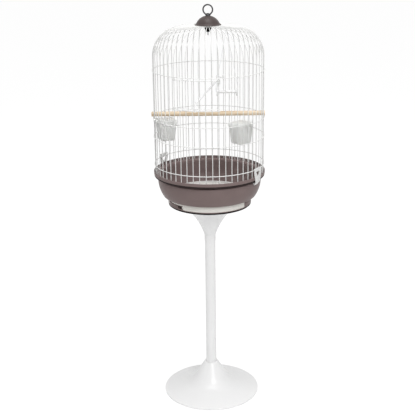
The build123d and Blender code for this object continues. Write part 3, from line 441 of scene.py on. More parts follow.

# %% [markdown]
# ### The bowl
#
# The bowl is one deep taupe moulding. From below: a rounded foot, a side that swells and turns upright, a
# neck, and a broad rim that overhangs it. A thin dark brown ring under the rim's lower edge is painted shade:
# it draws the dark line of shadow seen all round under the overhang. Inside the rim a channel holds the ring
# at the feet of the wires, and its inner lip hides that ring at the back. The outline goes up the outside and
# down the inside, so the wall is real.

# %% Bowl
SIDE_CENTRE, SIDE_HEIGHT, SIDE_RADIUS = 76.0, 862.0, 112.0
CORNER_HEIGHT, CORNER_RADIUS = 808.0, 12.0
BOWL_WALL = 2.5
BOWL_BOTTOM, BOWL_OPENING, RIM_RADIUS = 796.0, 148.0, 202.0
drop = SIDE_HEIGHT - CORNER_HEIGHT
reach = math.sqrt((SIDE_RADIUS - CORNER_RADIUS)**2 - drop**2)
corner = SIDE_CENTRE + reach
lean = math.degrees(math.atan2(drop, reach))
foot_side = [(BOWL_OPENING, BOWL_BOTTOM), (156.0, BOWL_BOTTOM)]
foot_side += arc((corner, CORNER_HEIGHT), CORNER_RADIUS, -90, -lean, 8)
foot_side += arc((SIDE_CENTRE, SIDE_HEIGHT), SIDE_RADIUS, -lean, 0, 16)[1:]
neck = [(188.0, 866.8), (187.5, 868.0), (186.3, 868.5), (181.6, 868.9), (180.4, 870.2), (180.4, 873.6)]
neck += [(182.0, 875.5), (199.4, 875.5), (199.4, 881.0), (201.0, 881.0)]
rim = arc((201.0, 882.0), 1.0, -60, 0, 3) + [(RIM_RADIUS, 890.4)] + arc((200.6, 890.6), 1.4, 8, 90, 4)
rim += [(199.9, 892.0), (199.5, 891.4), (199.5, 886.0), (198.0, 883.0)]
channel = [(198.0, 878.4), (197.6, 878.0), (193.4, 878.0), (193.0, 878.4)]
lip = [(193.0, 883.0), (192.2, 884.0), (182.4, 884.0), (180.2, 883.0), (178.4, 880.0)]
inside = [(178.0, 876.0), (178.0, 866.0)]
inside += arc((SIDE_CENTRE, SIDE_HEIGHT), SIDE_RADIUS - BOWL_WALL, -17, -lean, 12)
inside += arc((corner, CORNER_HEIGHT), CORNER_RADIUS - BOWL_WALL, -lean, -90, 8)[1:]
inside += [(148.4, 798.5), (BOWL_OPENING, 798.0)]
bowl = turned("bowl_moulding", foot_side + neck + rim + channel + lip + inside, sides=192, closed=True)
dress(settle(bowl), taupe_moulding, "cage", ["bowl"])
# A dark ring under the rim's overhang: painted shade for the shadow line seen all round.
rim_shade_outline = [(199.3, 875.6), (200.4, 875.6), (200.8, 876.0), (200.8, 880.9), (199.3, 880.9)]
rim_shade_ring = turned("rim_painted_shade", rim_shade_outline, sides=192, closed=True)
dress(settle(rim_shade_ring), rim_shade_moulding, "cage", ())

# %% [markdown]
# ### Softened copies
#
# Some pieces are sawn, slotted or bent plates whose CAD shape is already right, apart from its razor-sharp
# edges. For these we copy the CAD mesh, merge its loose triangles, dissolve the flat ones into whole faces
# and round every edge a little. The copy then stands for the node.

# %% A copy of a CAD node with softened edges
def softened(node_name, name, width, segments=2):
    """A copy of a node whose edges are rounded this wide; a width of zero leaves them sharp."""
    source = nodes[node_name]
    piece = source.copy()
    piece.data = source.data.copy()
    piece.name = name
    piece.parent = None
    piece.matrix_world = Matrix.Identity(4)
    bpy.context.scene.collection.objects.link(piece)
    close_up(piece, gap=0.002)
    select_only(piece)
    edit_all()
    bpy.ops.mesh.dissolve_limited(angle_limit=math.radians(0.5))
    leave_edit()
    if width:
        soften(piece, width, segments)
    return settle(piece)


housing = softened("drawer_housing", "housing_moulding", 0.4)
dress(housing, taupe_moulding, "cage", ["drawer_housing"])
grille = softened("floor_grille", "floor_grille_bars", 0.5, 1)
dress(grille, grille_coating_painted_light, "cage", ["floor_grille"])
for clip_name in ("clip_left", "clip_right"):
    clip = softened(clip_name, "rim_" + clip_name, 0.5)
    dress(clip, clip_moulding, clip_name, [clip_name])
dress(softened("door_catch", "door_latch", 0.5), cloudy_plastic, "door", ["door_catch"])

# %% [markdown]
# ### The drawer's front
#
# The pale front strip ends at a finger recess, and a lip of it runs on above the brown grip. Seen from
# above the bowl's corner hides most of that lip, so we draw it down a little, and we move the strip's end
# three degrees into the recess, where the photograph has it. Both are moves of a few picked corners, made
# on unsoftened copies, and the edges are rounded afterwards.

# %% Move picked corners of the drawer's front and grip
def move_corners(piece, test, drop=0.0, turn=0.0):
    """Lower or turn the corners that pass a test on their angle from the front and their height."""
    select_only(piece)
    for corner in piece.data.vertices:
        angle = math.degrees(math.atan2(-corner.co.x, -corner.co.y))
        if test(angle, corner.co.z / MM):
            corner.co = Matrix.Rotation(math.radians(turn), 3, "Z") @ corner.co - Vector((0, 0, drop * MM))
    piece.data.update()


strip = softened("drawer_front", "drawer_strip", 0)
grip = softened("drawer_pull", "drawer_grip", 0)
strip_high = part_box("drawer_front")[1].z / MM
grip_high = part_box("drawer_pull")[1].z / MM
END_TURN = -3.1
print("lip from", round(grip_high, 1), "to", round(strip_high, 1), "mm")
move_corners(strip, lambda a, z: 23.5 < a < 24.5 and z < grip_high + 0.2, turn=END_TURN)
move_corners(strip, lambda a, z: a > 26.5 and abs(z - grip_high) < 0.2, drop=3.4)
move_corners(grip, lambda a, z: 23.5 < a < 25.2, turn=END_TURN)
move_corners(grip, lambda a, z: z > grip_high - 0.2, drop=3.5)
move_corners(grip, lambda a, z: grip_high - 3.6 < z < grip_high - 0.6, drop=2.0)
dress(settle(soften(strip, 0.4)), drawer_moulding, "drawer", ["drawer_front"])
dress(settle(soften(grip, 0.4)), taupe_moulding, "drawer", ["drawer_pull"])

# %% [markdown]
# ### Painted shade under the housing
#
# Where the housing's lower corner turns in, the photograph shows a nearly black line, the shade under that
# corner. A thin turned ring in near-black draws it as painted shade.

# %% Painted shade under the housing
# A near-black ring under the housing's lower corner, painted as the shade there.
shade_ring_outline = [(143.0, 770.3), (143.0, 764.9), (143.8, 764.0), (149.4, 764.0), (151.4, 765.6)]
shade_ring_outline += [(152.3, 770.3)]
housing_shade_ring = turned("housing_shade_ring", shade_ring_outline, sides=160, closed=True)
dress(settle(housing_shade_ring), black_and_shade_moulding, "cage", ())

# %% [markdown]
# ## Wire work
#
# A wire bender works in straight runs and bends, and so do we. A small ring of points is the wire's
# section. `run` extrudes it straight, and `bend` spins it round a centre. The long uprights are bent once,
# copied round the cage, and each group is joined into one piece.

# %% Runs and bends
def start_wire(name, point, rotation, thickness, sides=12):
    select_only()
    place = [v * MM for v in point]
    bpy.ops.mesh.primitive_circle_add(vertices=sides, radius=thickness / 2 * MM, fill_type="NGON",
                                      location=place, rotation=[math.radians(a) for a in rotation])
    wire = bpy.context.object
    wire.name = name
    edit_all()
    return wire


def run(*step):
    bpy.ops.mesh.extrude_region_move(TRANSFORM_OT_translate={"value": [v * MM for v in step]})


def bend(angle, centre, axis, steps):
    """Spin turns clockwise about its axis, so the angle is handed over the other way round."""
    bpy.ops.mesh.spin(steps=steps, angle=math.radians(-angle), center=[v * MM for v in centre], axis=axis)


def end_wire(wire):
    leave_edit()
    return settle(close_up(wire, 0.005), 50)


def wire_ring(name, point, thickness, centre, axis, steps):
    """A closed ring of wire: its section at a point, spun once about an axis through the centre."""
    wire = start_wire(name, point, (90, 0, 0), thickness, sides=10)
    bpy.ops.mesh.delete(type="ONLY_FACE")
    bpy.ops.mesh.select_all(action="SELECT")
    bend(360, centre, axis, steps)
    return end_wire(wire)


# %% Copies round the cage
def round_the_cage(name, wire, numbers):
    """Copies of a wire at these places in the ring of wires, joined into one piece."""
    copies = []
    for number in numbers:
        copy = wire.copy()
        copy.data = wire.data.copy()
        copy.data.transform(Matrix.Rotation(math.radians(number * PITCH), 4, "Z"))
        bpy.context.scene.collection.objects.link(copy)
        copies.append(copy)
    group = join(copies)
    group.name = name
    return group


# %% [markdown]
# ### The uprights
#
# Every upright stands on the foot hoop in the rim, runs straight up, bends inwards at the shoulder, climbs
# the shallow dome and ends level between the crown's plates, under the cap. Over and under the door the
# wires are shorter: one starts at the upper hoop, the other stops at the sill.

# %% Uprights
WIRE = 2.7
CAGE_RADIUS = 196
POST_FOOT = 880.6
WALL_TOP, SHOULDER = 1306, 100
DOOR_TOP, DOOR_SILL = 1255.7, 1147.2
DOME_STEP = (60 - 106.45, 0, 1410.5 - 1405.45)
CROWN_STEP = (-24, 0, 0)


def cage_upright(name, foot_height):
    wire = start_wire(name, (CAGE_RADIUS, 0, foot_height), (0, 0, 0), WIRE)
    run(0, 0, WALL_TOP - foot_height)
    bend(-84, (CAGE_RADIUS - SHOULDER, 0, WALL_TOP), (0, 1, 0), 14)
    run(*DOME_STEP)
    run(*CROWN_STEP)
    return end_wire(wire)


def highest(piece):
    return max(v.co.z for v in piece.data.vertices) / MM


long_wire = cage_upright("long_wire", POST_FOOT)
print("long wire reaches", round(highest(long_wire), 1), "mm")
over_wire = cage_upright("over_wire", DOOR_TOP)
under_wire = start_wire("under_wire", (CAGE_RADIUS, 0, POST_FOOT), (0, 0, 0), WIRE)
run(0, 0, DOOR_SILL - POST_FOOT)
end_wire(under_wire)
DOOR_PLACES = range(-16, -10)
wire_groups = {
    "right": (long_wire, range(-10, 4)),
    "back": (long_wire, range(4, 24)),
    "left": (long_wire, range(24, 38)),
    "over_door": (over_wire, DOOR_PLACES),
    "under_door": (under_wire, DOOR_PLACES),
}
for side, (wire, numbers) in wire_groups.items():
    group = round_the_cage("uprights_" + side, wire, numbers)
    dress(group, upright_coating, "cage", ["wires_" + side])
for pattern_wire in (long_wire, over_wire, under_wire):
    bpy.data.objects.remove(pattern_wire)

# %% [markdown]
# ### The hoops
#
# Four hoops tie the uprights from outside and one ties their feet. Each is a ring of points spun once
# round the cage. Where a hoop crosses an upright the two are spot welded, and the coating fills the corner,
# so a small flattened bead sits at every crossing.

# %% Hoops
HOOP = 2.9
HOOP_RADIUS = 198.5
HOOPS = (("ring_upper", 1257), ("ring_perch", 1088), ("ring_cups", 1020), ("ring_clips", 918))


def hoop(name, radius, height):
    return wire_ring(name, (radius, 0, height), HOOP, (0, 0, height), (0, 0, 1), 3 * WIRE_COUNT)


for node_name, height in HOOPS:
    level = node_name.removeprefix("ring_")
    dress(hoop("hoop_" + level, HOOP_RADIUS, height), hoop_coating, "cage", [node_name])
dress(hoop("hoop_foot", CAGE_RADIUS, 879.3), hoop_coating, "cage", ["ring_foot"])

# %% Weld beads
BEAD_PLACE, BEAD_RADIUS = 197.2, 1.5


def weld_bead(height):
    select_only()
    place = (BEAD_PLACE * MM, 0, height * MM)
    bpy.ops.mesh.primitive_ico_sphere_add(subdivisions=1, radius=BEAD_RADIUS * MM, location=place)
    bead = bpy.context.object
    edit_all()
    bpy.ops.transform.resize(value=(0.55, 1.0, 1.0), center_override=place)
    leave_edit()
    return settle(bead, 80)


for node_name, height in HOOPS:
    bead = weld_bead(height)
    beads = round_the_cage("welds_" + node_name.removeprefix("ring_"), bead, range(WIRE_COUNT))
    dress(beads, hoop_coating, "cage", ())
    bpy.data.objects.remove(bead)

# %% [markdown]
# ### The door
#
# The door is a panel of six short wires between two rails. The rails curve with the cage, and at the left
# each ends in a sleeve that turns on the door post. The whole panel stands half a millimetre proud, so it
# can swing out.

# %% Door wires
PROUD = 0.5
LOWER_RAIL, UPPER_RAIL, RAIL_RADIUS = 1153.4, 1248.6, 198.9
LEFT_POST = -90 - 3.5 * PITCH
RIGHT_POST = -90 + 3.5 * PITCH
door_wire = start_wire("door_wire", (CAGE_RADIUS + PROUD, 0, 1152), (0, 0, 0), WIRE)
run(0, 0, 98)
end_wire(door_wire)
door_panel = round_the_cage("door_panel", door_wire, DOOR_PLACES)
bpy.data.objects.remove(door_wire)
dress(door_panel, upright_coating, "door", ["door_wires"])


def around(radius, angle, height):
    a = math.radians(angle)
    return (radius * math.cos(a), radius * math.sin(a), height)


# %% Door rails, sill and hinge sleeves
def rail(name, radius, height, first, last, thickness):
    wire = start_wire(name, around(radius, first, height), (90, 0, first), thickness)
    bend(last - first, (0, 0, height), (0, 0, 1), 20)
    return end_wire(wire)


def sleeve(name, low, high):
    """A short tube with chamfered ends that turns on the door's left post."""
    bore, edge, skin, chamfer = 1.75, 4.0, 4.1, 0.3
    outline = [(bore, low), (edge, low), (skin, low + chamfer)]
    outline += [(skin, high - chamfer), (edge, high), (bore, high)]
    piece = turned(name, outline, sides=28, closed=True)
    x, y, _ = around(CAGE_RADIUS, LEFT_POST, 0)
    piece.data.transform(Matrix.Translation((x * MM, y * MM, 0)))
    return settle(piece)


door_rails = join([
    rail("door_rail_pair", RAIL_RADIUS, LOWER_RAIL, LEFT_POST + 0.8, RIGHT_POST + 1.0, WIRE),
    rail("upper_rail", RAIL_RADIUS, UPPER_RAIL, LEFT_POST + 0.8, RIGHT_POST + 1.0, WIRE),
    sleeve("lower_sleeve", 1147.8, 1154.8),
    sleeve("upper_sleeve", 1245.1, 1252.1),
])
dress(door_rails, hoop_coating, "door", ["door_rails"])
sill = rail("door_sill_wire", HOOP_RADIUS, 1146, LEFT_POST - 1.1, RIGHT_POST + 1.1, HOOP)
dress(sill, hoop_coating, "cage", ["door_sill"])

# %% [markdown]
# ## The top
#
# A shallow taupe cap hides where the wires meet. Its taupe is a little darker than the bowl's in itself and
# painted darker still as shade, since its upward faces catch the top lamp. Its section is part of a sphere
# with a small flare at the brim. Above it stands the hanging ring, a wire loop whose two legs come together
# in a small collar, and below it the black tapered nut that holds everything together.

# %% Cap
CAP_RADIUS, CAP_SAG, CAP_TOP, CAP_WALL = 41.0, 26.7, 1443.7, 2.5
CAP_HOLE, CAP_BOTTOM, BRIM_HEIGHT = 3.4, 1411.7, 1417.0
sphere = (CAP_RADIUS**2 + CAP_SAG**2) / (2 * CAP_SAG)
sphere_centre = CAP_TOP - sphere
rim_angle = math.degrees(math.atan2(BRIM_HEIGHT - sphere_centre, CAP_RADIUS))
hole_angle = math.degrees(math.acos(CAP_HOLE / sphere))
inside_angle = math.degrees(math.asin((CAP_BOTTOM - sphere_centre) / (sphere - CAP_WALL)))
cap_outline = [(41.5, CAP_BOTTOM), (46.3, CAP_BOTTOM), (46.8, 1412.2), (46.6, 1412.9), (45.6, 1413.6)]
cap_outline += [(42.6, 1415.4)]
cap_outline += arc((0, sphere_centre), sphere, rim_angle, hole_angle, 18)
cap_outline += arc((0, sphere_centre), sphere - CAP_WALL, hole_angle, inside_angle, 14)
cap = turned("cap_moulding", cap_outline, sides=96, closed=True)
dress(settle(cap), cap_moulding, "cage", ["cap"])

# %% Hanging ring
LEG, LEG_FOOT = 6.65, 5.3
ring_wire = start_wire("hanging_loop", (LEG_FOOT, 0, 1445.3), (0, 45, 0), 5.2, sides=16)
run(LEG, 0, LEG)
bend(-270, (0, 0, 1463.85), (0, 1, 0), 54)
run(LEG, 0, -LEG)
end_wire(ring_wire)
collar_outline = [(3.0, CAP_TOP), (8.6, CAP_TOP), (9.0, 1444.1), (8.6, 1445.4), (7.4, 1448.6), (5.6, 1451.2)]
collar_outline += [(3.0, 1452.0)]
ring_collar = settle(turned("ring_collar", collar_outline, sides=40, closed=True))
shank_outline = [(0.02, 1376.0), (1.1, 1376.0), (1.5, 1376.6), (1.5, 1390.8), (3.2, 1390.8), (3.2, 1445.6)]
shank_outline += [(0.02, 1445.6)]
shank = settle(close_up(turned("ring_shank", shank_outline, sides=32), 0.08))
hanging_ring = join([ring_wire, ring_collar, shank])
cad_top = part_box("hanging_ring")[1].z / MM
print("ring top", round(highest(hanging_ring), 2), "CAD", round(cad_top, 2))
dress(hanging_ring, dark_wire, "cage", ["hanging_ring"])

# %% Crown nut
nut_outline = [(3.3, 1407.8), (15.4, 1407.8), (16.0, 1407.2), (16.0, 1405.2), (15.2, 1404.4)]
nut_outline += [(12.0, 1399.0), (8.6, 1393.2), (5.6, 1388.4), (4.6, 1387.8), (1.7, 1387.8), (1.7, 1390.6)]
nut_outline += [(3.3, 1390.7)]
nut = turned("crown_cone", nut_outline, sides=48, closed=True)
dress(settle(nut), black_and_shade_moulding, "cage", ["crown_nut"])

# %% [markdown]
# ## Blocks and picked faces
#
# Most of the pieces that are left are small mouldings. Many start as a block, whose faces or edges are
# picked by their place and direction, as one would click them on screen.

# %% Blocks, picked faces and picked edges
def block(name, x_low, x_high, half_width, z_low, z_high):
    select_only()
    place = ((x_low + x_high) / 2 * MM, 0, (z_low + z_high) / 2 * MM)
    bpy.ops.mesh.primitive_cube_add(size=1, location=place)
    piece = bpy.context.object
    piece.name = name
    piece.scale = ((x_high - x_low) * MM, 2 * half_width * MM, (z_high - z_low) * MM)
    bpy.ops.object.transform_apply(location=True, rotation=True, scale=True)
    return piece


def start_picking(piece, kind):
    """Clear the selection of faces, edges or points, so that a test can pick new ones."""
    select_only(piece)
    bpy.ops.object.mode_set(mode="EDIT")
    bpy.ops.mesh.select_mode(type=kind)
    bpy.ops.mesh.select_all(action="DESELECT")
    leave_edit()


def pick_faces(piece, test):
    """Select the faces whose centre and normal pass a test, and go into edit mode."""
    start_picking(piece, "FACE")
    for face in piece.data.polygons:
        face.select = test(face.center / MM, face.normal)
    bpy.ops.object.mode_set(mode="EDIT")


def round_edges(piece, width, segments, test):
    """Round the edges that pass a test on their two ends, in millimetres."""
    start_picking(piece, "EDGE")
    for edge in piece.data.edges:
        a, b = (piece.data.vertices[i].co / MM for i in edge.vertices)
        edge.select = test(a, b)
    bpy.ops.object.mode_set(mode="EDIT")
    bpy.ops.mesh.bevel(offset=width * MM, segments=segments, affect="EDGES")
    leave_edit()


def upright(a, b):
    """Whether an edge between two points stands upright on a cup or its hood."""
    return abs(a.z - b.z) > 10


# %% [markdown]
# ## Perches and swing
#
# The long perch is a turned dowel. Its ends are sawn with a slot that straddles one upright, and the edges
# are eased. The swing is a short white bar between two dished flanges, hung on a bail of thin wire that
# loops over a dome wire. All of them are made along the X axis and then turned by the slant.

# %% Wooden perch
def dowel(name, start, length, radius, height, sides=48):
    """A round bar along the X axis, from where it starts."""
    select_only()
    bpy.ops.mesh.primitive_cylinder_add(vertices=sides, radius=radius * MM, depth=length * MM,
                                        location=((start + length / 2) * MM, 0, height * MM),
                                        rotation=(0, math.pi / 2, 0))
    piece = bpy.context.object
    piece.name = name
    bpy.ops.object.transform_apply(location=True, rotation=True, scale=True)
    return piece


SLANTED = Matrix.Rotation(math.radians(SLANT), 4, "Z")
PERCH_HEIGHT, PERCH_RADIUS, PERCH_LENGTH = 1098.3, 8.6, 406.0
perch = dowel("wooden_perch_dowel", -205.5, PERCH_LENGTH, PERCH_RADIUS, PERCH_HEIGHT)
for x_low, x_high in ((-230, -194.5), (194.5, 230)):
    carve(perch, block("slot_cutter", x_low, x_high, 1.7, 1080, 1118))
soften(perch, 0.7, 2, 40)
perch.data.transform(SLANTED)
dress(settle(perch, 30), wood, "perch", ["wooden_perch"])

# %% [markdown]
# ### The rod perch
#
# A thin plastic rod climbs from the door sill to the back of the cage. In front a bent tongue hooks over the
# sill, and behind two small snap clips, joined by a bridge, grip two uprights. The rod is a cylinder with
# rounded ends, the tongue is drawn from the side and extruded, and a clip is a block with its mouth cut out.

# %% Rod perch
ROD_FRONT = Vector((0, -186.0, 1172.0))
ROD_BACK = Vector((0, 190.0, 1198.0))
rod_line = ROD_BACK - ROD_FRONT
select_only()
bpy.ops.mesh.primitive_cylinder_add(vertices=28, radius=3.6 * MM, depth=rod_line.length * MM,
                                    location=(ROD_FRONT + ROD_BACK) / 2 * MM,
                                    rotation=rod_line.to_track_quat("Z", "Y").to_euler())
rod = bpy.context.object
rod.name = "rod_perch_moulding"
bpy.ops.object.transform_apply(location=True, rotation=True, scale=True)
rod_parts = [soften(rod, 0.9, 3, 40)]

# %% Its front hook
HOOK_TOP, HOOK_TIP, HOOK_THICKNESS = 1150.1, -202.7, 4
tongue = [(-186.0, 1176.0), (-188.3, 1176.0), (-193.6, HOOK_TOP), (HOOK_TIP, HOOK_TOP), (HOOK_TIP, 1142.8)]
tongue += [(-200.5, 1142.8), (-200.5, 1147.8), (-191.6, 1147.8), (-177.4, 1168.2), (-177.4, 1176.0)]
select_only()
bpy.ops.mesh.primitive_circle_add(vertices=len(tongue), radius=MM, fill_type="NGON")
hook = bpy.context.object
for corner, (y, z) in zip(hook.data.vertices, tongue):
    corner.co = (-HOOK_THICKNESS / 2 * MM, y * MM, z * MM)
edit_all()
run(HOOK_THICKNESS, 0, 0)
leave_edit()
rod_parts.append(soften(close_up(hook), 0.4, 2, 40))


# %% Its back clips
def block_at(y, name, x_low, x_high, half_width, z_low, z_high):
    piece = block(name, x_low, x_high, half_width, z_low, z_high)
    piece.data.transform(Matrix.Translation((0, y * MM, 0)))
    return piece


rod_parts.append(soften(block_at(189.2, "clip_bridge", -13, 13, 1.5, 1195, 1201), 0.5, 2, 40))
for side in (-1, 1):
    wire_x = CAGE_RADIUS * math.sin(math.radians(side * PITCH / 2))
    snap = block_at(192.4, "back_clip", wire_x - 3.6, wire_x + 3.6, 4.8, 1192, 1204)
    carve(snap, block_at(198.4, "clip_mouth", wire_x - 1.7, wire_x + 1.7, 4.4, 1180, 1216))
    rod_parts.append(soften(snap, 0.4, 2, 40))
rod_perch = join(rod_parts)
dress(settle(rod_perch, 30), white_moulding, "cage", ["rod_perch"])

# %% Swing bar and flanges
SWING_HEIGHT, SWING_MIDDLE = 1176.5, 65
swing_bar = dowel("swing_rod", 32.0, 66.0, 5.5, SWING_HEIGHT, 40)
soften(swing_bar, 0.5, 2, 40)
swing_bar.data.transform(SLANTED)
dress(settle(swing_bar, 30), white_moulding, "swing", ["swing_bar"])


def flange(name, x_low):
    """A flat disc whose two faces are dished."""
    piece = dowel(name, x_low, 4.0, 15.0, SWING_HEIGHT, 56)
    pick_faces(piece, lambda c, n: abs(n.x) > 0.9)
    bpy.ops.mesh.inset(thickness=2.6 * MM, depth=-0.9 * MM, use_individual=True)
    leave_edit()
    return soften(piece, 0.4, 2, 30)


flanges = join([flange("swing_flange_pair", 28.0), flange("far_flange", 98.0)])
flanges.data.transform(SLANTED)
dress(settle(flanges, 30), white_moulding, "swing", ["swing_flanges"])

# %% Swing bail
BAIL, BAIL_BEND = 2.0, 2.0
BAIL_START, BAIL_HALF, BAIL_SHOULDER = 25, 38.7, 1193.2
EYE_MIDDLE, EYE_BOTTOM = 1408.6, 1404.6
bail_parts = []
for side in (-1, 1):
    start = (SWING_MIDDLE + side * BAIL_START, 0, SWING_HEIGHT)
    bend_x = SWING_MIDDLE + side * (BAIL_HALF - BAIL_BEND)
    leg = start_wire("swing_bail_wire", start, (0, 90, 0), BAIL, sides=10)
    run(bend_x - start[0], 0, 0)
    bend(-side * 90, (bend_x, 0, SWING_HEIGHT + BAIL_BEND), (0, 1, 0), 6)
    run(0, 0, BAIL_SHOULDER - SWING_HEIGHT - BAIL_BEND)
    run(-side * BAIL_HALF, 0, EYE_BOTTOM - BAIL_SHOULDER)
    bail_parts.append(end_wire(leg))
bail_parts.append(wire_ring("bail_eye", (SWING_MIDDLE, 0, EYE_BOTTOM), BAIL,
                            (SWING_MIDDLE, 0, EYE_MIDDLE), (1, 0, 0), 24))
bail = join(bail_parts)
bail.data.transform(SLANTED)
dress(settle(bail), zinc, "swing", ["swing_bail"])

# %% [markdown]
# ## Feeder cups
#
# The cups are thin tapered tubs, each under a low hood that is open towards the middle of the cage, where
# a notch in the tub's wall lets the bird reach in. A tub starts as a block: its bottom face is scaled in,
# its upright corners are rounded, the top is opened, Solidify gives the wall, and a cutter takes the notch.
# The hood is made the same way, and two hooks hang it on the hoop. All are made on the X axis and then
# turned to their place.

# %% Cup tub
CUP_INNER, CUP_OUTER, CUP_HALF = 130.5, 192.5, 33
CUP_BOTTOM, CUP_SEAM, HOOD_TOP = 1018, 1078, 1092
CUP_CORNER = 9


def cup_tub(name):
    tub = block(name, CUP_INNER, CUP_OUTER, CUP_HALF, CUP_BOTTOM, CUP_SEAM)
    pick_faces(tub, lambda c, n: n.z < -0.5)
    taper = math.tan(math.radians(5)) * (CUP_SEAM - CUP_BOTTOM)
    shares = (1 - 2 * taper / (CUP_OUTER - CUP_INNER), 1 - taper / CUP_HALF, 1)
    middle = (CUP_INNER + CUP_OUTER) / 2
    bpy.ops.transform.resize(value=shares, center_override=(middle * MM, 0, CUP_BOTTOM * MM))
    leave_edit()
    round_edges(tub, CUP_CORNER, 6, upright)
    pick_faces(tub, lambda c, n: n.z > 0.5)
    bpy.ops.mesh.delete(type="FACE")
    leave_edit()
    round_edges(tub, 3, 3, lambda a, b: max(a.z, b.z) < CUP_BOTTOM + 1)
    apply_modifier(tub, "wall", "SOLIDIFY", thickness=2 * MM, offset=-1)
    notch = block("notch_cutter", 121.5, 139.5, 21, 1064, 1090)
    round_edges(notch, 5, 4, lambda a, b: abs(a.x - b.x) > 10 and a.z < 1070 and b.z < 1070)
    return soften(carve(tub, notch), 0.5, 2, 40)


# %% Cup hood and its hooks
def cup_hood(name):
    """A lid whose inner edge is 2 mm lower, open below and towards the middle of the cage."""
    hood = block(name, CUP_INNER, CUP_OUTER, CUP_HALF, CUP_SEAM, HOOD_TOP)
    start_picking(hood, "VERT")
    for v in hood.data.vertices:
        v.select = v.co.x < 140 * MM and v.co.z > 1085 * MM
    bpy.ops.object.mode_set(mode="EDIT")
    bpy.ops.transform.translate(value=(0, 0, -2 * MM))
    leave_edit()
    round_edges(hood, CUP_CORNER, 6, lambda a, b: upright(a, b) and a.x > 180)
    round_edges(hood, 3, 3, lambda a, b: min(a.z, b.z) > 1085 and max(a.x, b.x) >= 135)
    pick_faces(hood, lambda c, n: n.z < -0.9 or n.x < -0.9)
    bpy.ops.mesh.delete(type="FACE")
    leave_edit()
    apply_modifier(hood, "wall", "SOLIDIFY", thickness=1.6 * MM, offset=-1)
    return soften(hood, 0.4, 2, 40)


def cup_hook(side):
    """A flat tongue that goes out between two uprights and turns down over the hoop."""
    hook = block_at(side * 11.4, "hook", 189.5, 200.4, 4, 1089.8, HOOD_TOP)
    pick_faces(hook, lambda c, n: n.x > 0.5)
    run(2.2, 0, 0)
    leave_edit()
    pick_faces(hook, lambda c, n: n.z < -0.5 and c.x > 200.5)
    run(0, 0, -8)
    leave_edit()
    return soften(hook, 0.4, 2, 40)


# %% Both cups in their places
for side, turn_sign in (("left", -1), ("right", 1)):
    turn = Matrix.Rotation(math.radians(-90 + turn_sign * 8.5 * PITCH), 4, "Z")
    tub = cup_tub("cup_tub_" + side)
    tub.data.transform(turn)
    dress(settle(tub), cloudy_plastic, "cup_" + side, ["cup_" + side])
    hood = join([cup_hood("cup_cover_" + side), cup_hook(-1), cup_hook(1)])
    hood.data.transform(turn)
    dress(settle(hood), cloudy_plastic, "cup_" + side, ["cup_hood_" + side])

# %% [markdown]
# ## Floor, light and background
#
# The photograph is a studio cut-out on white. A very wide pale floor takes the contact shadow. The lamps
# see it as plain paper. To the camera and to reflections it glows instead, with only a faint share of
# paper, so that it reads as white and still shows the shadow. The glow is chosen so that floor and lamp
# light add up to just white: more would drown the thin white wires in front of it. The world does the
# same: white to the camera, softer to everything else.

# %% Choosing by the kind of ray
def seen_by(tree, *rays):
    """A value that is one where any of these rays arrives, and else zero."""
    path = tree.nodes.new("ShaderNodeLightPath")
    seen = path.outputs[rays[0]]
    for ray in rays[1:]:
        either = tree.nodes.new("ShaderNodeMath")
        either.operation = "MAXIMUM"
        tree.links.new(seen, either.inputs[0])
        tree.links.new(path.outputs[ray], either.inputs[1])
        seen = either.outputs["Value"]
    return seen


def choose(tree, seen, otherwise, chosen, output):
    """Send one of two shaders to the output."""
    mix = tree.nodes.new("ShaderNodeMixShader")
    tree.links.new(seen, mix.inputs["Fac"])
    tree.links.new(otherwise, mix.inputs[1])
    tree.links.new(chosen, mix.inputs[2])
    tree.links.new(mix.outputs["Shader"], tree.nodes[output].inputs["Surface"])


# %% Floor
FLOOR_GLOW = 0.885
FAINT_PAPER = (0.2, 0.2, 0.2, 1)
PLAIN_PAPER = (0.80, 0.80, 0.80)
select_only()
bpy.ops.mesh.primitive_plane_add(size=80, location=(0, 0, 0))
floor = bpy.context.object
floor.name = "studio_floor"
floor_paper, paper_shader = start_finish("floor_paper", PLAIN_PAPER, 0.9)
tree = floor_paper.node_tree
glow = tree.nodes.new("ShaderNodeEmission")
glow.inputs["Strength"].default_value = FLOOR_GLOW
faint = tree.nodes.new("ShaderNodeBsdfDiffuse")
faint.inputs["Color"].default_value = FAINT_PAPER
both = tree.nodes.new("ShaderNodeAddShader")
tree.links.new(faint.outputs["BSDF"], both.inputs[0])
tree.links.new(glow.outputs["Emission"], both.inputs[1])
seen = seen_by(tree, "Is Camera Ray", "Is Glossy Ray")
choose(tree, seen, paper_shader.outputs["BSDF"], both.outputs["Shader"], "Material Output")
floor.data.materials.append(floor_paper)

# %% World
ROOM_STRENGTH = 0.50
world = bpy.data.worlds.new("white_room")
world.use_nodes = True
bpy.context.scene.world = world
tree = world.node_tree
room = tree.nodes["Background"]
room.inputs["Color"].default_value = (1, 1, 1, 1)
room.inputs["Strength"].default_value = ROOM_STRENGTH
backdrop = tree.nodes.new("ShaderNodeBackground")
backdrop.inputs["Color"].default_value = (1, 1, 1, 1)
backdrop.inputs["Strength"].default_value = 1.0
seen = seen_by(tree, "Is Camera Ray", "Is Glossy Ray", "Is Transmission Ray")
choose(tree, seen, room.outputs["Background"], backdrop.outputs["Background"], "World Output")

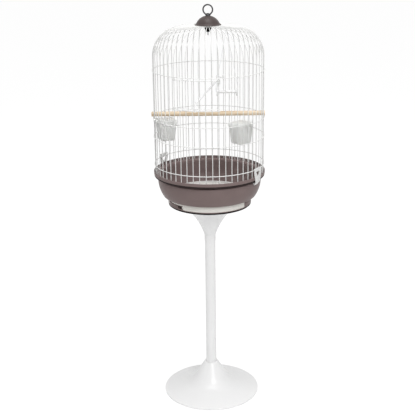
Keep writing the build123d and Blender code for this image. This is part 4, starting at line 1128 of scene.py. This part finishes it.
# %% [markdown]
# Three large soft lamps shape the round forms: a key from the front right, one overhead, and a weak one
# from the left. They are far away and wide, so their shadows have no edge.

# %% Lamps
CAGE_MIDDLE, BOWL_MIDDLE = (0, 0, 0.9), (0, 0, 0.8)


def lamp(name, position, target, size, power):
    select_only()
    bpy.ops.object.light_add(type="AREA", location=position)
    light = bpy.context.object
    light.name = name
    light.data.shape = "DISK"
    light.data.size = size
    light.data.energy = power
    light.rotation_euler = (Vector(target) - Vector(position)).to_track_quat("-Z", "Y").to_euler()
    print(f"{name}: {power} W, {size} m wide")


lamp("key_lamp", (1.9, -3.25, 3.6), CAGE_MIDDLE, 2.0, 88)
lamp("top_lamp", (0.2, -0.5, 4.8), CAGE_MIDDLE, 2.4, 85)
lamp("fill_lamp", (-3.4, -1.6, 1.8), BOWL_MIDDLE, 2.4, 9)
bpy.context.scene.view_settings.view_transform = "Standard"

# %% [markdown]
# ## Camera
#
# The photograph was taken from the front, a little to the right and above, with a long lens. The position
# came from fitting the hoops, the rim and the foot, whose heights and widths we know in millimetres. The
# lens is written as in that fit: its focal length and the picture's width in the photograph's pixels.

# %% Camera
EYE_POINT = Vector((0.73662, -3.11613, 1.77235))
SIGHT_LINE = Vector((-0.22151, 0.92600, -0.30569)).normalized()
ROUGH_UP = Vector((-0.06026, 0.29989, 0.95207))
FOCAL_PIXELS, PICTURE_PIXELS, SENSOR_WIDTH = 908, 415, 36
right_line = SIGHT_LINE.cross(ROUGH_UP).normalized()
up_line = right_line.cross(SIGHT_LINE)
select_only()
bpy.ops.object.camera_add(location=EYE_POINT)
camera = bpy.context.object
camera.name = "photo_camera"
camera.rotation_euler = Matrix((right_line, up_line, -SIGHT_LINE)).transposed().to_euler()
camera.data.sensor_width = SENSOR_WIDTH
camera.data.lens = SENSOR_WIDTH * FOCAL_PIXELS / PICTURE_PIXELS
camera.data.clip_end = 200
bpy.context.scene.camera = camera
print("camera at", [round(v, 3) for v in camera.location], "lens", round(camera.data.lens, 1))
